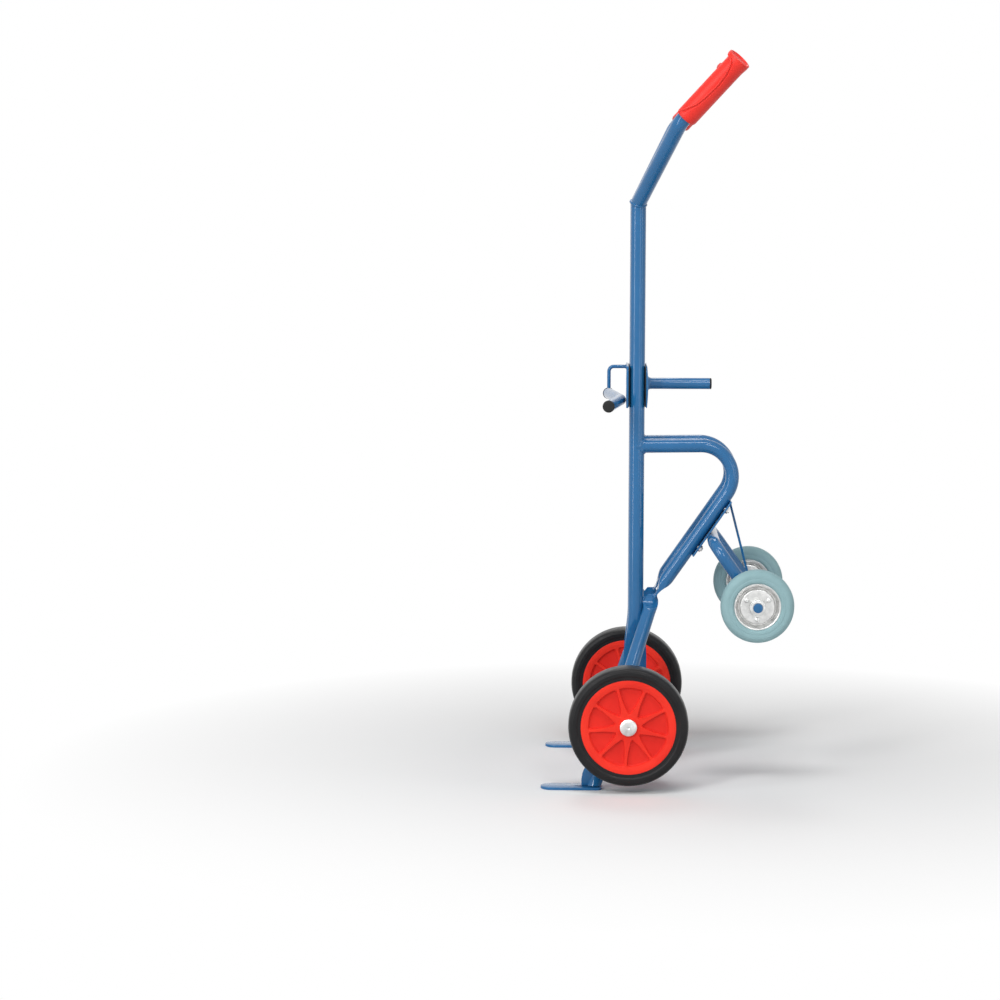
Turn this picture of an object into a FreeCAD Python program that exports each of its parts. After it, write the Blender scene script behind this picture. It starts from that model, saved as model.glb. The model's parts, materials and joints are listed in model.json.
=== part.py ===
import FreeCAD, Part
import math
import os

V = FreeCAD.Vector

# Drum trolley, in millimetres and degrees. +Z is up, -X is the side that faces the load,
# +X is the operator's side and -Y the operator's left hand.
# The pieces are laid out from the main axle's line and moved to the base centre at the end.

# Main wheels and their axle
wheel_d = 260.0
tyre_w = 60.0
tyre_t = 27.0
half_track = 275.0
axle_d = 20.0
hub_d = 41.0
main_bush_t = 4.0
rim_w = 54.0
rim_face_sink = 3.0
rim_lip_w = 8.0
rim_slope_w = 11.0
rib_count = 9
rib_tip_w = 5.6
rib_waist_w = 7.6
rib_turn = 4.0
pocket_edge = 2.0
pocket_inner_d = 56.0
pocket_nose = 2.0
pocket_depth = 6.0
tyre_step_w = 7.0
tyre_step = 3.0
tyre_round = 12.0
collar_d = 34.0
collar_w = 9.0
hub_cap_d = 37.0
hub_cap_t = 2.0
hub_cap_h = 5.0

# Mast
mast_d = 33.7
mast_wall = 2.6
mast_back = 16.5
mast_half = 55.0
mast_top = 1270.0
mast_flat_from = 362.0
mast_flat_taper = 100.0
mast_flat_w = 49.0
mast_flat_t = 6.0
axle_hold = 6.0
spacer_d = 25.0
upper_spacer_drop = 40.0
lower_spacer_drop = 50.0

# Handles and grips
handle_bend_x = 101.5
handle_bend_half = 240.0
handle_bend_z = 1440.0
handle_bend_r = 45.0
grip_rise = 45.2
grip_spread = 21.32
grip_root = 2.3
grip_len = 172.0
grip_d = 44.0
grip_guard_d = 49.0
grip_flare_d = 53.0
grip_end_t = 7.0
grip_collar = 10.0
grip_dip = 12.0

# Rear tubes
rear_d = 30.0
rear_wall = 2.0
rear_run_z = 734.0
rear_run_rise = 0.7
rear_bend_r = 69.0
diagonal_lean = 34.65
knuckle_back = 39.0
knuckle_z = 395.0
rear_flat_taper = 46.0
rear_flat_len = 8.0
rear_flat_w = 40.0
rear_flat_t = 5.0

# Legs and toes
leg_d = 30.0
leg_wall = 2.5
leg_cap_lean = 46.0
leg_cap_t = 12.0
foot_gap = 10.0
toe_drop = 17.0
toe_t = 6.0
toe_w = 50.0
toe_reach = 117.0
toe_heel = 16.0
toe_heel_r = 10.0
gusset_t = 6.0
gusset_h = 46.0
gusset_reach = 28.0
seat_gap = 3.0

# Support wheels, their axle, fork, plate and brace
support_x = 279.0
support_z = 399.5
support_wheel_d = 160.0
support_tyre_w = 40.0
support_half_track = 205.0
support_axle_d = 20.0
support_hub_len = 58.0
support_hub_d = 35.0
support_bush_t = 3.0
support_rim_d = 102.0
support_seat_d = 88.0
support_disc_d = 74.0
support_disc_out = 9.0
support_flange_out = 15.0
sheet_t = 2.0
rivet_count = 3
rivet_circle_d = 56.0
rivet_d = 6.0
rivet_head_d = 11.0
rivet_head_h = 3.0
washer_t = 1.5
retainer_t = 2.5
retainer_d = 29.0
axle_end = 4.0
fork_d = 26.9
fork_wall = 2.0
fork_bend_r = 40.0
fork_place = 184.0
plate_low = 128.0
plate_len = 148.0
plate_w = 150.0
plate_t = 4.0
plate_bolt_edge = 22.0
brace_t = 5.0
brace_w = 30.0
brace_edge = 5.0
bolt_d = 8.0
bolt_hole_gap = 0.3
stud_root = 3.0
bolt_tail = 2.5
nut_flat = 13.0
nut_h = 5.5

# Hook carriage
carriage_z = 866.0
carriage_h = 92.0
carriage_w = 150.0
pad_t = 2.5
pad_edge = 2.0
front_plate_t = 4.5
back_plate_edge_t = 2.0
back_plate_crown = 2.5
guide_h = 60.0
screw_half = 24.0
screw_up = 12.0
screw_head_d = 16.0
screw_sink = 0.1
hook_d = 8.0
hook_edge = 4.5
hook_reach = 38.5
hook_drop = 45.0
hook_bend_r = 11.0
rest_d = 25.0
rest_wall = 2.0
rest_down = 33.0
rest_half = 206.0
rest_forward = 27.0
rest_bend_r = 120.0
cap_d = 26.5
cap_t = 4.0
cap_plug_len = 14.0
pull_d = 25.0
pull_wall = 2.0
pull_len = 138.0
pull_up = 4.0
pull_foot_d = 34.0
pull_foot_h = 5.0

# Clearances
weld_gap = 0.2
fit_gap = 0.05
run_gap = 0.5
slide_gap = 0.3

# Values worked out from the sizes above
up = V(0, 0, 1)
across = V(0, 1, 0)
wheel_r = wheel_d / 2
tyre_seat_r = wheel_r - tyre_t
rim_lip_r = tyre_seat_r - rim_lip_w
rim_face_r = rim_lip_r - rim_slope_w
foot_half = half_track - tyre_w / 2 - foot_gap
axle_r = axle_d / 2
axle_z = toe_drop + wheel_r
mast_r = mast_d / 2
rear_r = rear_d / 2
leg_r = leg_d / 2
knuckle_x = mast_back + knuckle_back
support_r = support_wheel_d / 2
support_axle_r = support_axle_d / 2
bolt_hole_r = bolt_d / 2 + bolt_hole_gap


def unit(vector):
    return vector / vector.Length


def one(shape):
    return shape.Solids[0]


def other_side(shape):
    return shape.mirror(V(0, 0, 0), across)


def rod(start, end, radius):
    run = end - start
    return Part.makeCylinder(radius, run.Length, start, run)


def ring(start, end, outer, inner):
    return rod(start, end, outer).cut(rod(start, end, inner))


def outline(points):
    return Part.Face(Part.makePolygon(points + points[:1]))


def turned(points, centre, axis=across):
    # A closed outline of (radius, height) pairs turned about an axis through the centre
    side = unit(V(1, 0, 0) - axis * axis.x) if abs(axis.x) < 0.9 else up
    places = [centre + side * radius + axis * height for radius, height in points]
    return outline(places).revolve(centre, axis, 360)


def annulus(centre, direction, outer, inner):
    face = Part.Face(Part.Wire(Part.makeCircle(outer, centre, direction)))
    if inner > 0:
        face = face.cut(Part.Face(Part.Wire(Part.makeCircle(inner, centre, direction))))
    return face


def bent_tube(points, bend_r, outer_d, wall=0.0):
    # Straight runs between the points, each inner point rounded to the bend radius
    outer = outer_d / 2
    inner = outer - wall if wall else 0.0
    runs = []
    start = points[0]
    for before, corner, after in zip(points, points[1:], points[2:]):
        coming = unit(corner - before)
        going = unit(after - corner)
        turn = math.acos(coming.dot(going))
        back = bend_r * math.tan(turn / 2)
        bend_start = corner - coming * back
        centre = bend_start + unit(going - coming * coming.dot(going)) * bend_r
        section = annulus(start, coming, outer, inner)
        runs.append(section.extrude(bend_start - start))
        section = annulus(bend_start, coming, outer, inner)
        runs.append(section.revolve(centre, unit(coming.cross(going)), math.degrees(turn)))
        start = corner + going * back
    last = points[-1]
    runs.append(annulus(start, last - start, outer, inner).extrude(last - start))
    return runs[0].fuse(runs[1:]) if len(runs) > 1 else runs[0]


def flattened_end(radius, flat_w, flat_t, taper, flat_len, placement):
    # A round tube pressed flat: four arcs at each station, wide along X and thin along Y
    corner = math.radians(60)
    wires = []
    for share in (0.0, 0.3, 0.5, 0.7, 1.0):
        ease = share * share * (3 - 2 * share)
        tip = radius + (flat_w / 2 - radius) * ease
        top = radius + (flat_t / 2 - radius) * ease
        edge_x = radius * math.cos(corner) + (flat_w / 2 - flat_t / 2 - radius * math.cos(corner)) * ease
        edge_y = radius * math.sin(corner) + (flat_t / 2 - radius * math.sin(corner)) * ease
        z = taper * share
        right = Part.Arc(V(edge_x, -edge_y, z), V(tip, 0, z), V(edge_x, edge_y, z)).toShape()
        left = Part.Arc(V(-edge_x, edge_y, z), V(-tip, 0, z), V(-edge_x, -edge_y, z)).toShape()
        if share < 1:
            upper = Part.Arc(V(edge_x, edge_y, z), V(0, top, z), V(-edge_x, edge_y, z)).toShape()
            lower = Part.Arc(V(-edge_x, -edge_y, z), V(0, -top, z), V(edge_x, -edge_y, z)).toShape()
        else:
            upper = Part.makeLine(V(edge_x, edge_y, z), V(-edge_x, edge_y, z))
            lower = Part.makeLine(V(-edge_x, -edge_y, z), V(edge_x, -edge_y, z))
        wires.append(Part.Wire([right, upper, left, lower]))
    pressed = Part.makeLoft(wires, True, True)
    tab = Part.Face(wires[-1]).extrude(V(0, 0, flat_len))
    shape = pressed.fuse(tab)
    shape.Placement = placement
    return shape


def beyond(point, normal, reach):
    # A block that fills the far side of a plane
    block = Part.makeBox(2 * reach, 2 * reach, reach, V(-reach, -reach, 0))
    block.Placement = FreeCAD.Placement(point, FreeCAD.Rotation(up, normal))
    return block


def hexagon(centre, axis, across_flats, height):
    points = []
    radius = across_flats / math.sqrt(3)
    for corner in range(6):
        angle = math.radians(60 * corner)
        points.append(V(radius * math.cos(angle), radius * math.sin(angle), 0))
    prism = outline(points).extrude(V(0, 0, height))
    prism.Placement = FreeCAD.Placement(centre, FreeCAD.Rotation(up, axis))
    return prism


# Rear tube line: from the mast back along the run, round the bend and down the diagonal
lean = math.radians(diagonal_lean)
diagonal = V(math.sin(lean), 0, math.cos(lean))
off_diagonal = V(-math.cos(lean), 0, math.sin(lean))
run_way = V(math.cos(math.radians(rear_run_rise)), 0, math.sin(math.radians(rear_run_rise)))
knuckle = V(knuckle_x, 0, knuckle_z)
run_start = V(mast_back, 0, rear_run_z)
run_height = run_start.z - knuckle.z + (knuckle.x - run_start.x) * run_way.z / run_way.x
diagonal_len = run_height / (diagonal.z - diagonal.x * run_way.z / run_way.x)
rear_corner = knuckle + diagonal * diagonal_len

# Leg line: from the knuckle down, touching the axle in side view and the mast tube in plan
axle_reach = math.hypot(knuckle_x, knuckle_z - axle_z)
axle_angle = math.atan2(knuckle_x, knuckle_z - axle_z)
leg_angle = axle_angle + math.asin((leg_r + axle_r + weld_gap) / axle_reach)
leg_slope = math.tan(leg_angle)
foot_x = knuckle_x - (knuckle_z - toe_t) * leg_slope
mast_reach = math.hypot(mast_back - foot_x, foot_half - mast_half)
mast_angle = math.atan2(foot_half - mast_half, mast_back - foot_x)
plan_angle = mast_angle - math.asin((leg_r + mast_r + weld_gap) / mast_reach)
leg_top_half = foot_half - (knuckle_x - foot_x) * math.tan(plan_angle)
foot = V(foot_x, -foot_half, toe_t)
leg_top = V(knuckle_x, -leg_top_half, knuckle_z)
leg_way = unit(leg_top - foot)

# Support fork: cross tube under the bracket plate, arms down to the support axle
support = V(support_x, 0, support_z)
plate_under = rear_r + weld_gap + plate_t
fork_cross = knuckle + diagonal * fork_place - off_diagonal * (plate_under + weld_gap + fork_d / 2)
arm_half = support_half_track - support_hub_len / 2 - run_gap - washer_t - run_gap - fork_d / 2

# Carriage planes along X
front_face = mast_back - mast_r - slide_gap
front_pad = front_face - pad_t
front_plate = front_pad - front_plate_t
back_face = mast_back + mast_r + slide_gap
back_pad = back_face + pad_t
back_edge = back_pad + back_plate_edge_t
back_crown = back_edge + back_plate_crown
carriage_top = carriage_z + carriage_h / 2
carriage_foot = carriage_z - carriage_h / 2

parts = {}


def both_sides(name, shape):
    parts["left_" + name] = shape
    parts["right_" + name] = other_side(shape)


# Mast tubes: round and hollow, mitred at the top, pressed flat over the axle at the foot
mast_foot = V(mast_back, -mast_half, mast_flat_from)
mast_head = V(mast_back, -mast_half, mast_top)
handle_bend = V(handle_bend_x, -handle_bend_half, handle_bend_z)
handle_way = unit(handle_bend - mast_head)
rise = math.radians(grip_rise)
spread = math.radians(grip_spread)
grip_way = V(math.cos(rise) * math.cos(spread), -math.cos(rise) * math.sin(spread), math.sin(rise))
handle_turn = math.acos(handle_way.dot(grip_way))
grip_start = handle_bend + grip_way * (handle_bend_r * math.tan(handle_turn / 2) + grip_root)
grip_end = grip_start + grip_way * grip_len
mitre = unit(up + handle_way)
axle_line = rod(V(0, -half_track, axle_z), V(0, half_track, axle_z), axle_r + weld_gap)


def mast_tube():
    tube = ring(mast_foot, mast_head + up * mast_d, mast_r, mast_r - mast_wall)
    tube = tube.cut(beyond(mast_head, mitre, 4 * mast_d))
    down = FreeCAD.Rotation(V(1, 0, 0), 180)
    flat_len = mast_flat_from - mast_flat_taper - axle_z + axle_r + axle_hold
    pressed = flattened_end(mast_r, mast_flat_w, mast_flat_t, mast_flat_taper, flat_len,
                            FreeCAD.Placement(mast_foot, down))
    return one(tube.fuse(pressed.cut(axle_line)))


def mast_spacer(z):
    tube = ring(V(mast_back, -mast_half, z), V(mast_back, mast_half, z),
                spacer_d / 2, spacer_d / 2 - rear_wall)
    for side in (-mast_half, mast_half):
        low = V(mast_back, side, z - spacer_d)
        tube = tube.cut(rod(low, low + up * 2 * spacer_d, mast_r + weld_gap))
    return one(tube)


def handle_tube():
    tube = bent_tube([mast_head - handle_way * mast_d, handle_bend, grip_end - grip_way * grip_end_t],
                     handle_bend_r, mast_d, mast_wall)
    return one(tube.cut(beyond(mast_head, mitre * -1, 4 * mast_d)))


both_sides("mast_tube", mast_tube())
parts["upper_mast_spacer"] = mast_spacer(mast_top - upper_spacer_drop)
parts["lower_mast_spacer"] = mast_spacer(rear_run_z - lower_spacer_drop)
both_sides("handle_tube", handle_tube())


# Grip: a moulded sleeve with a thicker hand guard round an open palm window
def grip():
    guard_r = grip_guard_d / 2
    flare_r = grip_flare_d / 2
    core_r = grip_d / 2
    shell = turned([(0, 0), (guard_r + 1, 0), (flare_r, 4), (flare_r - 1, grip_collar), (guard_r, 2 * grip_collar),
                    (guard_r, grip_len - 2 * grip_collar), (flare_r, grip_len - grip_collar),
                    (flare_r, grip_len - 2), (flare_r - 2, grip_len), (0, grip_len)], V(0, 0, 0), up)
    edge = grip_collar
    places = [V(flare_r, 0, edge), V(core_r * 0.6, 0, edge + 4), V(0, 0, 2.2 * edge),
              V(-grip_dip, 0, grip_len * 0.36), V(-grip_dip * 0.9, 0, grip_len * 0.55),
              V(-grip_dip * 0.3, 0, grip_len - 3 * edge), V(core_r * 0.5, 0, grip_len - 1.4 * edge),
              V(flare_r, 0, grip_len - 1.2 * edge)]
    curve = Part.BSplineCurve()
    curve.interpolate(places)
    top = [V(2 * flare_r, 0, places[-1].z), V(2 * flare_r, 0, places[0].z)]
    closing = Part.makePolygon([places[-1]] + top + [places[0]])
    window = Part.Face(Part.Wire([curve.toShape()] + closing.Edges))
    window.translate(V(0, -flare_r - 5, 0))
    window = window.extrude(V(0, 2 * flare_r + 10, 0))
    window = window.cut(rod(V(0, 0, -edge), V(0, 0, grip_len + edge), core_r))
    bore = rod(V(0, 0, -edge), V(0, 0, grip_len - grip_end_t), mast_r + fit_gap)
    shape = shell.cut(window).cut(bore)
    outboard = unit(across * -1 - grip_way * (across * -1).dot(grip_way))
    palm = outboard.cross(grip_way)
    turn = FreeCAD.Rotation(palm, outboard, grip_way, "ZXY")
    shape.Placement = FreeCAD.Placement(grip_end - grip_way * grip_len, turn)
    return one(shape)


both_sides("grip", grip())


# Rear tube: coped to the mast, bent, drilled below for the bracket studs and pressed flat at its foot
bolt_places = (plate_low + plate_bolt_edge, plate_low + plate_len - plate_bolt_edge)


def on_diagonal(along, side, out):
    # A point beside the diagonal: along it from the knuckle, sideways, and out below it
    return knuckle + diagonal * along + across * side - off_diagonal * out


def rear_tube():
    side = across * -mast_half
    pressed_from = rear_flat_taper + rear_flat_len + weld_gap * 5
    tube = bent_tube([run_start + side, rear_corner + side, on_diagonal(pressed_from, -mast_half, 0)],
                     rear_bend_r, rear_d, rear_wall)
    turn = FreeCAD.Rotation(across, off_diagonal, diagonal * -1, "ZXY")
    pressed = flattened_end(rear_r, rear_flat_w, rear_flat_t, rear_flat_taper, rear_flat_len,
                            FreeCAD.Placement(on_diagonal(pressed_from, -mast_half, 0), turn))
    tube = tube.fuse(pressed)
    low = V(mast_back, -mast_half, rear_run_z - rear_d)
    tube = tube.cut(rod(low, low + up * 2 * rear_d, mast_r + weld_gap))
    for along in bolt_places:
        tube = tube.cut(rod(on_diagonal(along, -mast_half, 0), on_diagonal(along, -mast_half, rear_d), bolt_hole_r))
    return one(tube)


both_sides("rear_tube", rear_tube())


# Leg, toe plate and gusset
def leg():
    cap_lean = math.radians(leg_cap_lean)
    cap_way = V(math.sin(cap_lean), 0, math.cos(cap_lean))
    tube = rod(foot - leg_way * leg_d, leg_top + leg_way * leg_d, leg_r)
    tube = tube.cut(rod(foot - leg_way * leg_d, leg_top - leg_way * leg_cap_t, leg_r - leg_wall))
    tube = tube.cut(beyond(leg_top, cap_way, 4 * leg_d))
    return one(tube.cut(beyond(V(foot.x, foot.y, toe_t), up * -1, 4 * leg_d)))


def toe_plate():
    # The seat for the load is a face of its own in front of the gusset
    half = toe_w / 2
    tip = foot_x - toe_reach
    heel = foot_x + toe_heel
    seat = foot_x - gusset_reach - seat_gap
    nose = Part.Arc(V(tip + half, -half, 0), V(tip, 0, 0), V(tip + half, half, 0)).toShape()
    upper = Part.makeLine(V(tip + half, half, 0), V(seat, half, 0))
    back = Part.makeLine(V(seat, half, 0), V(seat, -half, 0))
    lower = Part.makeLine(V(seat, -half, 0), V(tip + half, -half, 0))
    front = Part.Face(Part.Wire([nose, upper, back, lower])).extrude(up * toe_t)
    rear = Part.makeBox(heel - seat, toe_w, toe_t, V(seat, -half, 0))
    corners = [edge for edge in rear.Edges if abs(edge.CenterOfMass.x - heel) < 0.1 and edge.Length < toe_t + 0.1]
    plate = front.fuse(rear.makeFillet(toe_heel_r, corners))
    plate.translate(V(0, -foot_half, 0))
    return one(plate)


def toe_gusset():
    # A rib that stands on the toe plate against the front of the leg
    front = foot_x - gusset_reach
    rib = outline([V(front, 0, toe_t), V(foot_x, 0, toe_t), V(foot_x + gusset_h * leg_slope, 0, toe_t + gusset_h),
                   V(front + gusset_reach / 3, 0, toe_t + gusset_h), V(front, 0, toe_t + gusset_h / 2)])
    rib = rib.extrude(across * gusset_t)
    rib.translate(across * (-foot_half - gusset_t / 2))
    return one(rib.cut(rod(foot - leg_way * leg_d, leg_top, leg_r + weld_gap)))


both_sides("leg", leg())
both_sides("toe_plate", toe_plate())
both_sides("toe_gusset", toe_gusset())


# Main axle, the collars inside the wheels and the caps outside them
hub_in = half_track - rim_w / 2
hub_out = half_track + rim_w / 2
cap_in = hub_out + run_gap
axle_half = cap_in + hub_cap_h - hub_cap_t
parts["main_axle"] = rod(V(0, -axle_half, axle_z), V(0, axle_half, axle_z), axle_r)


def axle_collar():
    end = -(hub_in - run_gap)
    return ring(V(0, end, axle_z), V(0, end + collar_w, axle_z), collar_d / 2, axle_r + fit_gap)


def hub_cap():
    # A low pressed dome over the axle's end
    edge = hub_cap_d / 2
    inside = hub_cap_h - hub_cap_t + fit_gap
    profile = [(axle_r + fit_gap, 0), (edge, 0), (edge, hub_cap_t / 2), (edge * 0.9, hub_cap_h * 0.5),
               (edge * 0.6, hub_cap_h * 0.88), (edge * 0.2, hub_cap_h), (0, hub_cap_h),
               (0, inside), (axle_r + fit_gap, inside)]
    return turned(profile, V(0, -cap_in, axle_z), across * -1)


def pair(shape):
    return Part.makeCompound([shape, other_side(shape)])


parts["axle_collars"] = pair(axle_collar())
parts["hub_caps"] = pair(hub_cap())


# Main wheel: rubber tyre, ribbed plastic rim and bearing bush
def main_tyre(centre):
    half = tyre_w / 2
    seat = tyre_seat_r + fit_gap
    step = seat + tyre_step_w
    outside = [(seat, -half + tyre_step), (step, -half + tyre_step), (step + 2, -half),
               (wheel_r - tyre_round, -half), (wheel_r - tyre_round * 0.3, -half + tyre_round * 0.3),
               (wheel_r, -half + tyre_round)]
    mirrored = [(radius, -height) for radius, height in reversed(outside)]
    return turned(outside + mirrored, centre)


def rim_pocket():
    # The recess between two ribs, pointed at the hub, with its middle line along X
    half_turn = math.pi / rib_count
    outer = rim_face_r - pocket_edge
    inner = pocket_inner_d / 2
    middle = (outer + inner) / 2

    def place(radius, rib_w, side):
        angle = side * (half_turn - math.asin(rib_w / 2 / radius))
        return V(radius * math.cos(angle), 0, radius * math.sin(angle))

    low = place(outer, rib_tip_w, -1)
    high = place(outer, rib_tip_w, 1)
    nose_low = V(inner, 0, -pocket_nose)
    nose_high = V(inner, 0, pocket_nose)
    rim_side = Part.Arc(low, V(outer, 0, 0), high).toShape()
    high_side = Part.Arc(high, place(middle, rib_waist_w, 1), nose_high).toShape()
    nose = Part.makeLine(nose_high, nose_low)
    low_side = Part.Arc(nose_low, place(middle, rib_waist_w, -1), low).toShape()
    return Part.Face(Part.Wire([rim_side, high_side, nose, low_side]))


def main_rim(centre):
    half = rim_w / 2
    face = half - rim_face_sink
    boss = hub_d / 2
    bore = axle_r + fit_gap + main_bush_t + fit_gap
    outside = [(bore, -half), (boss, -half), (boss, -face), (rim_face_r, -face), (rim_lip_r, -half),
               (tyre_seat_r, -half)]
    mirrored = [(radius, -height) for radius, height in reversed(outside)]
    rim = turned(outside + mirrored, centre)
    pockets = []
    for count in range(rib_count):
        recess = rim_pocket()
        recess.rotate(V(0, 0, 0), across, 90 + rib_turn + (count + 0.5) * 360 / rib_count)
        for start in (-face, face - pocket_depth):
            pocket = recess.extrude(across * pocket_depth)
            pocket.translate(centre + across * start)
            pockets.append(pocket)
    return one(rim.cut(pockets))


def bush(centre, inner, thick, length):
    half = across * (length / 2)
    return ring(centre - half, centre + half, inner + thick, inner)


for side, place in (("left_", -half_track), ("right_", half_track)):
    middle = V(0, place, axle_z)
    parts[side + "main_tyre"] = main_tyre(middle)
    parts[side + "main_rim"] = main_rim(middle)
    parts[side + "main_bush"] = bush(middle, axle_r + fit_gap, main_bush_t, rim_w)


# Support bracket: plate under the diagonals, fork, brace, axle and fasteners
diagonal_turn = FreeCAD.Rotation(diagonal, across, off_diagonal, "ZXY")


def bracket_plate():
    plate = Part.makeBox(plate_len, plate_w, plate_t)
    plate.Placement = FreeCAD.Placement(on_diagonal(plate_low, -plate_w / 2, plate_under), diagonal_turn)
    for along in bolt_places:
        for side in (-mast_half, mast_half):
            plate = plate.cut(rod(on_diagonal(along, side, 0), on_diagonal(along, side, 2 * rear_d), bolt_hole_r))
    return one(plate)


def support_fork():
    arm = across * arm_half
    fork = bent_tube([support - arm, fork_cross - arm, fork_cross + arm, support + arm],
                     fork_bend_r, fork_d, fork_wall)
    hole = across * (arm_half + fork_d)
    return one(fork.cut(rod(support - hole, support + hole, support_axle_r + weld_gap)))


def support_brace():
    top = on_diagonal(plate_low + plate_len - brace_edge, 0, plate_under)
    way = unit(top - support)
    face = unit(across.cross(way))
    strap = Part.makeBox((top - support).Length + brace_w, brace_w, brace_t)
    turn = FreeCAD.Rotation(way, across, way.cross(across), "ZXY")
    corner = support - across * (brace_w / 2) + face * (brace_t / 2)
    strap.Placement = FreeCAD.Placement(corner, turn)
    strap = strap.cut(beyond(on_diagonal(plate_low, 0, plate_under + weld_gap), off_diagonal, plate_len * 3))
    hole = across * brace_w
    return one(strap.cut(rod(support - hole, support + hole, support_axle_r + weld_gap)))


def bracket_bolt(along, side):
    # A stud set in the tube's lower wall, which leaves the top of the tube plain
    root = on_diagonal(along, side, rear_r - rear_wall - stud_root)
    tail = on_diagonal(along, side, plate_under + weld_gap + nut_h + bolt_tail)
    return rod(root, tail, bolt_d / 2)


bolts = []
nuts = []
for along in bolt_places:
    for side in (-mast_half, mast_half):
        under = on_diagonal(along, side, plate_under + weld_gap)
        core = rod(under, under - off_diagonal * (nut_h * 3), bolt_d / 2 + fit_gap)
        bolts.append(bracket_bolt(along, side))
        nuts.append(hexagon(under, off_diagonal * -1, nut_flat, nut_h).cut(core))
parts["bracket_plate"] = bracket_plate()
parts["support_fork"] = support_fork()
parts["support_brace"] = support_brace()
parts["bracket_bolts"] = Part.makeCompound(bolts)
parts["bracket_nuts"] = Part.makeCompound(nuts)

support_hub_end = support_half_track + support_hub_len / 2
support_axle_half = support_hub_end + run_gap + retainer_t + axle_end
axle_end_place = across * support_axle_half
parts["support_axle"] = rod(support - axle_end_place, support + axle_end_place, support_axle_r)


def support_ring(start, thick, outer_d):
    return ring(support - across * start, support - across * (start + thick), outer_d / 2, support_axle_r + fit_gap)


washer_start = support_half_track - support_hub_len / 2 - run_gap - washer_t
parts["support_washers"] = pair(support_ring(washer_start, washer_t, support_hub_d))
parts["support_retainers"] = pair(support_ring(support_hub_end + run_gap, retainer_t, retainer_d))


# Support wheel: rubber tyre on two riveted pressed rim halves with a hub tube and bush
def support_tyre(centre):
    half = support_tyre_w / 2
    seat = support_seat_d / 2 + fit_gap
    rim = support_rim_d / 2 + fit_gap
    bead = support_flange_out - sheet_t - fit_gap
    outside = [(seat, -bead), (rim, -bead), (rim, -support_flange_out - fit_gap), (rim + 3, -half),
               (support_r - 12, -half), (support_r - 4, -half + 5), (support_r, -half + 12)]
    mirrored = [(radius, -height) for radius, height in reversed(outside)]
    return turned(outside + mirrored, centre)


def rim_half(centre, face):
    # Pressed sheet: a raised disc, a groove where the halves meet, a seat and an outer flange
    hub = support_hub_d / 2 + fit_gap
    disc = support_disc_d / 2
    groove = fit_gap
    seat = support_seat_d / 2
    flange = support_rim_d / 2
    out = support_disc_out
    lip = support_flange_out
    profile = [(hub, out), (disc, out), (disc + 3, groove + sheet_t), (seat - sheet_t, groove + sheet_t),
               (seat - sheet_t, lip), (flange, lip), (flange, lip - sheet_t), (seat, lip - sheet_t),
               (seat, groove), (disc + 1.5, groove), (disc - 1.5, out - sheet_t), (hub, out - sheet_t)]
    half = turned(profile, centre, face)
    for place in rivet_places(centre):
        half = half.cut(rod(place - across * lip, place + across * lip, rivet_d / 2 + fit_gap))
    return one(half)


def rivet_places(centre):
    places = []
    for count in range(rivet_count):
        angle = math.radians(270 + count * 360 / rivet_count)
        spoke = V(math.cos(angle), 0, math.sin(angle))
        places.append(centre + spoke * (rivet_circle_d / 2))
    return places


def rivets(centre):
    shank = rivet_d / 2
    head = rivet_head_d / 2
    seat = support_disc_out + fit_gap
    top = seat + rivet_head_h
    profile = [(0, -top), (head * 0.6, -top), (head, -seat), (shank, -seat), (shank, seat), (head, seat),
               (head * 0.6, top), (0, top)]
    return Part.makeCompound([turned(profile, place) for place in rivet_places(centre)])


for side, place in (("left_", -1), ("right_", 1)):
    middle = support + across * (place * support_half_track)
    bush_outer = support_axle_r + fit_gap + support_bush_t
    parts[side + "support_tyre"] = support_tyre(middle)
    parts[side + "support_rim_outer"] = rim_half(middle, across * place)
    parts[side + "support_rim_inner"] = rim_half(middle, across * -place)
    parts[side + "support_rivets"] = rivets(middle)
    parts[side + "support_hub"] = bush(middle, bush_outer + fit_gap, support_hub_d / 2 - bush_outer - fit_gap,
                                       support_hub_len)
    parts[side + "support_bush"] = bush(middle, support_axle_r + fit_gap, support_bush_t, support_hub_len)


# Hook carriage: plates and slide pads before and behind the mast, tied through the gap between its tubes
bolt_holes = []
tapped_holes = []
sinks = []
screws = []
for side in (-screw_half, screw_half):
    seat = V(front_plate, side, carriage_z + screw_up)
    low = seat - V(carriage_h, 0, 0)
    bolt_holes.append(rod(low, low + V(3 * carriage_h, 0, 0), bolt_hole_r))
    tapped_holes.append(rod(low, low + V(3 * carriage_h, 0, 0), bolt_d / 2 + fit_gap))
    head_h = (screw_head_d - bolt_d) / 2
    flush = seat + V(screw_sink, 0, 0)
    head = Part.makeCone(screw_head_d / 2, bolt_d / 2, head_h, flush, V(1, 0, 0))
    sinks.append(Part.makeCone(screw_head_d / 2 + 2 * weld_gap, bolt_d / 2 + 2 * weld_gap, head_h, seat, V(1, 0, 0)))
    screws.append(one(head.fuse(rod(flush, V(back_edge, seat.y, seat.z), bolt_d / 2))))


def sheet(start, thick, width, height):
    return Part.makeBox(thick, width, height, V(start, -width / 2, carriage_z - height / 2)).cut(bolt_holes)


def back_plate():
    half = carriage_h / 2
    arc = Part.Arc(V(back_edge, 0, carriage_foot), V(back_crown, 0, carriage_z), V(back_edge, 0, carriage_top))
    sides = Part.makePolygon([V(back_edge, 0, carriage_top), V(back_pad, 0, carriage_top),
                              V(back_pad, 0, carriage_foot), V(back_edge, 0, carriage_foot)])
    plate = Part.Face(Part.Wire([arc.toShape()] + sides.Edges)).extrude(across * carriage_w)
    plate.translate(across * (-carriage_w / 2))
    return one(plate.cut(tapped_holes))


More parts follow.
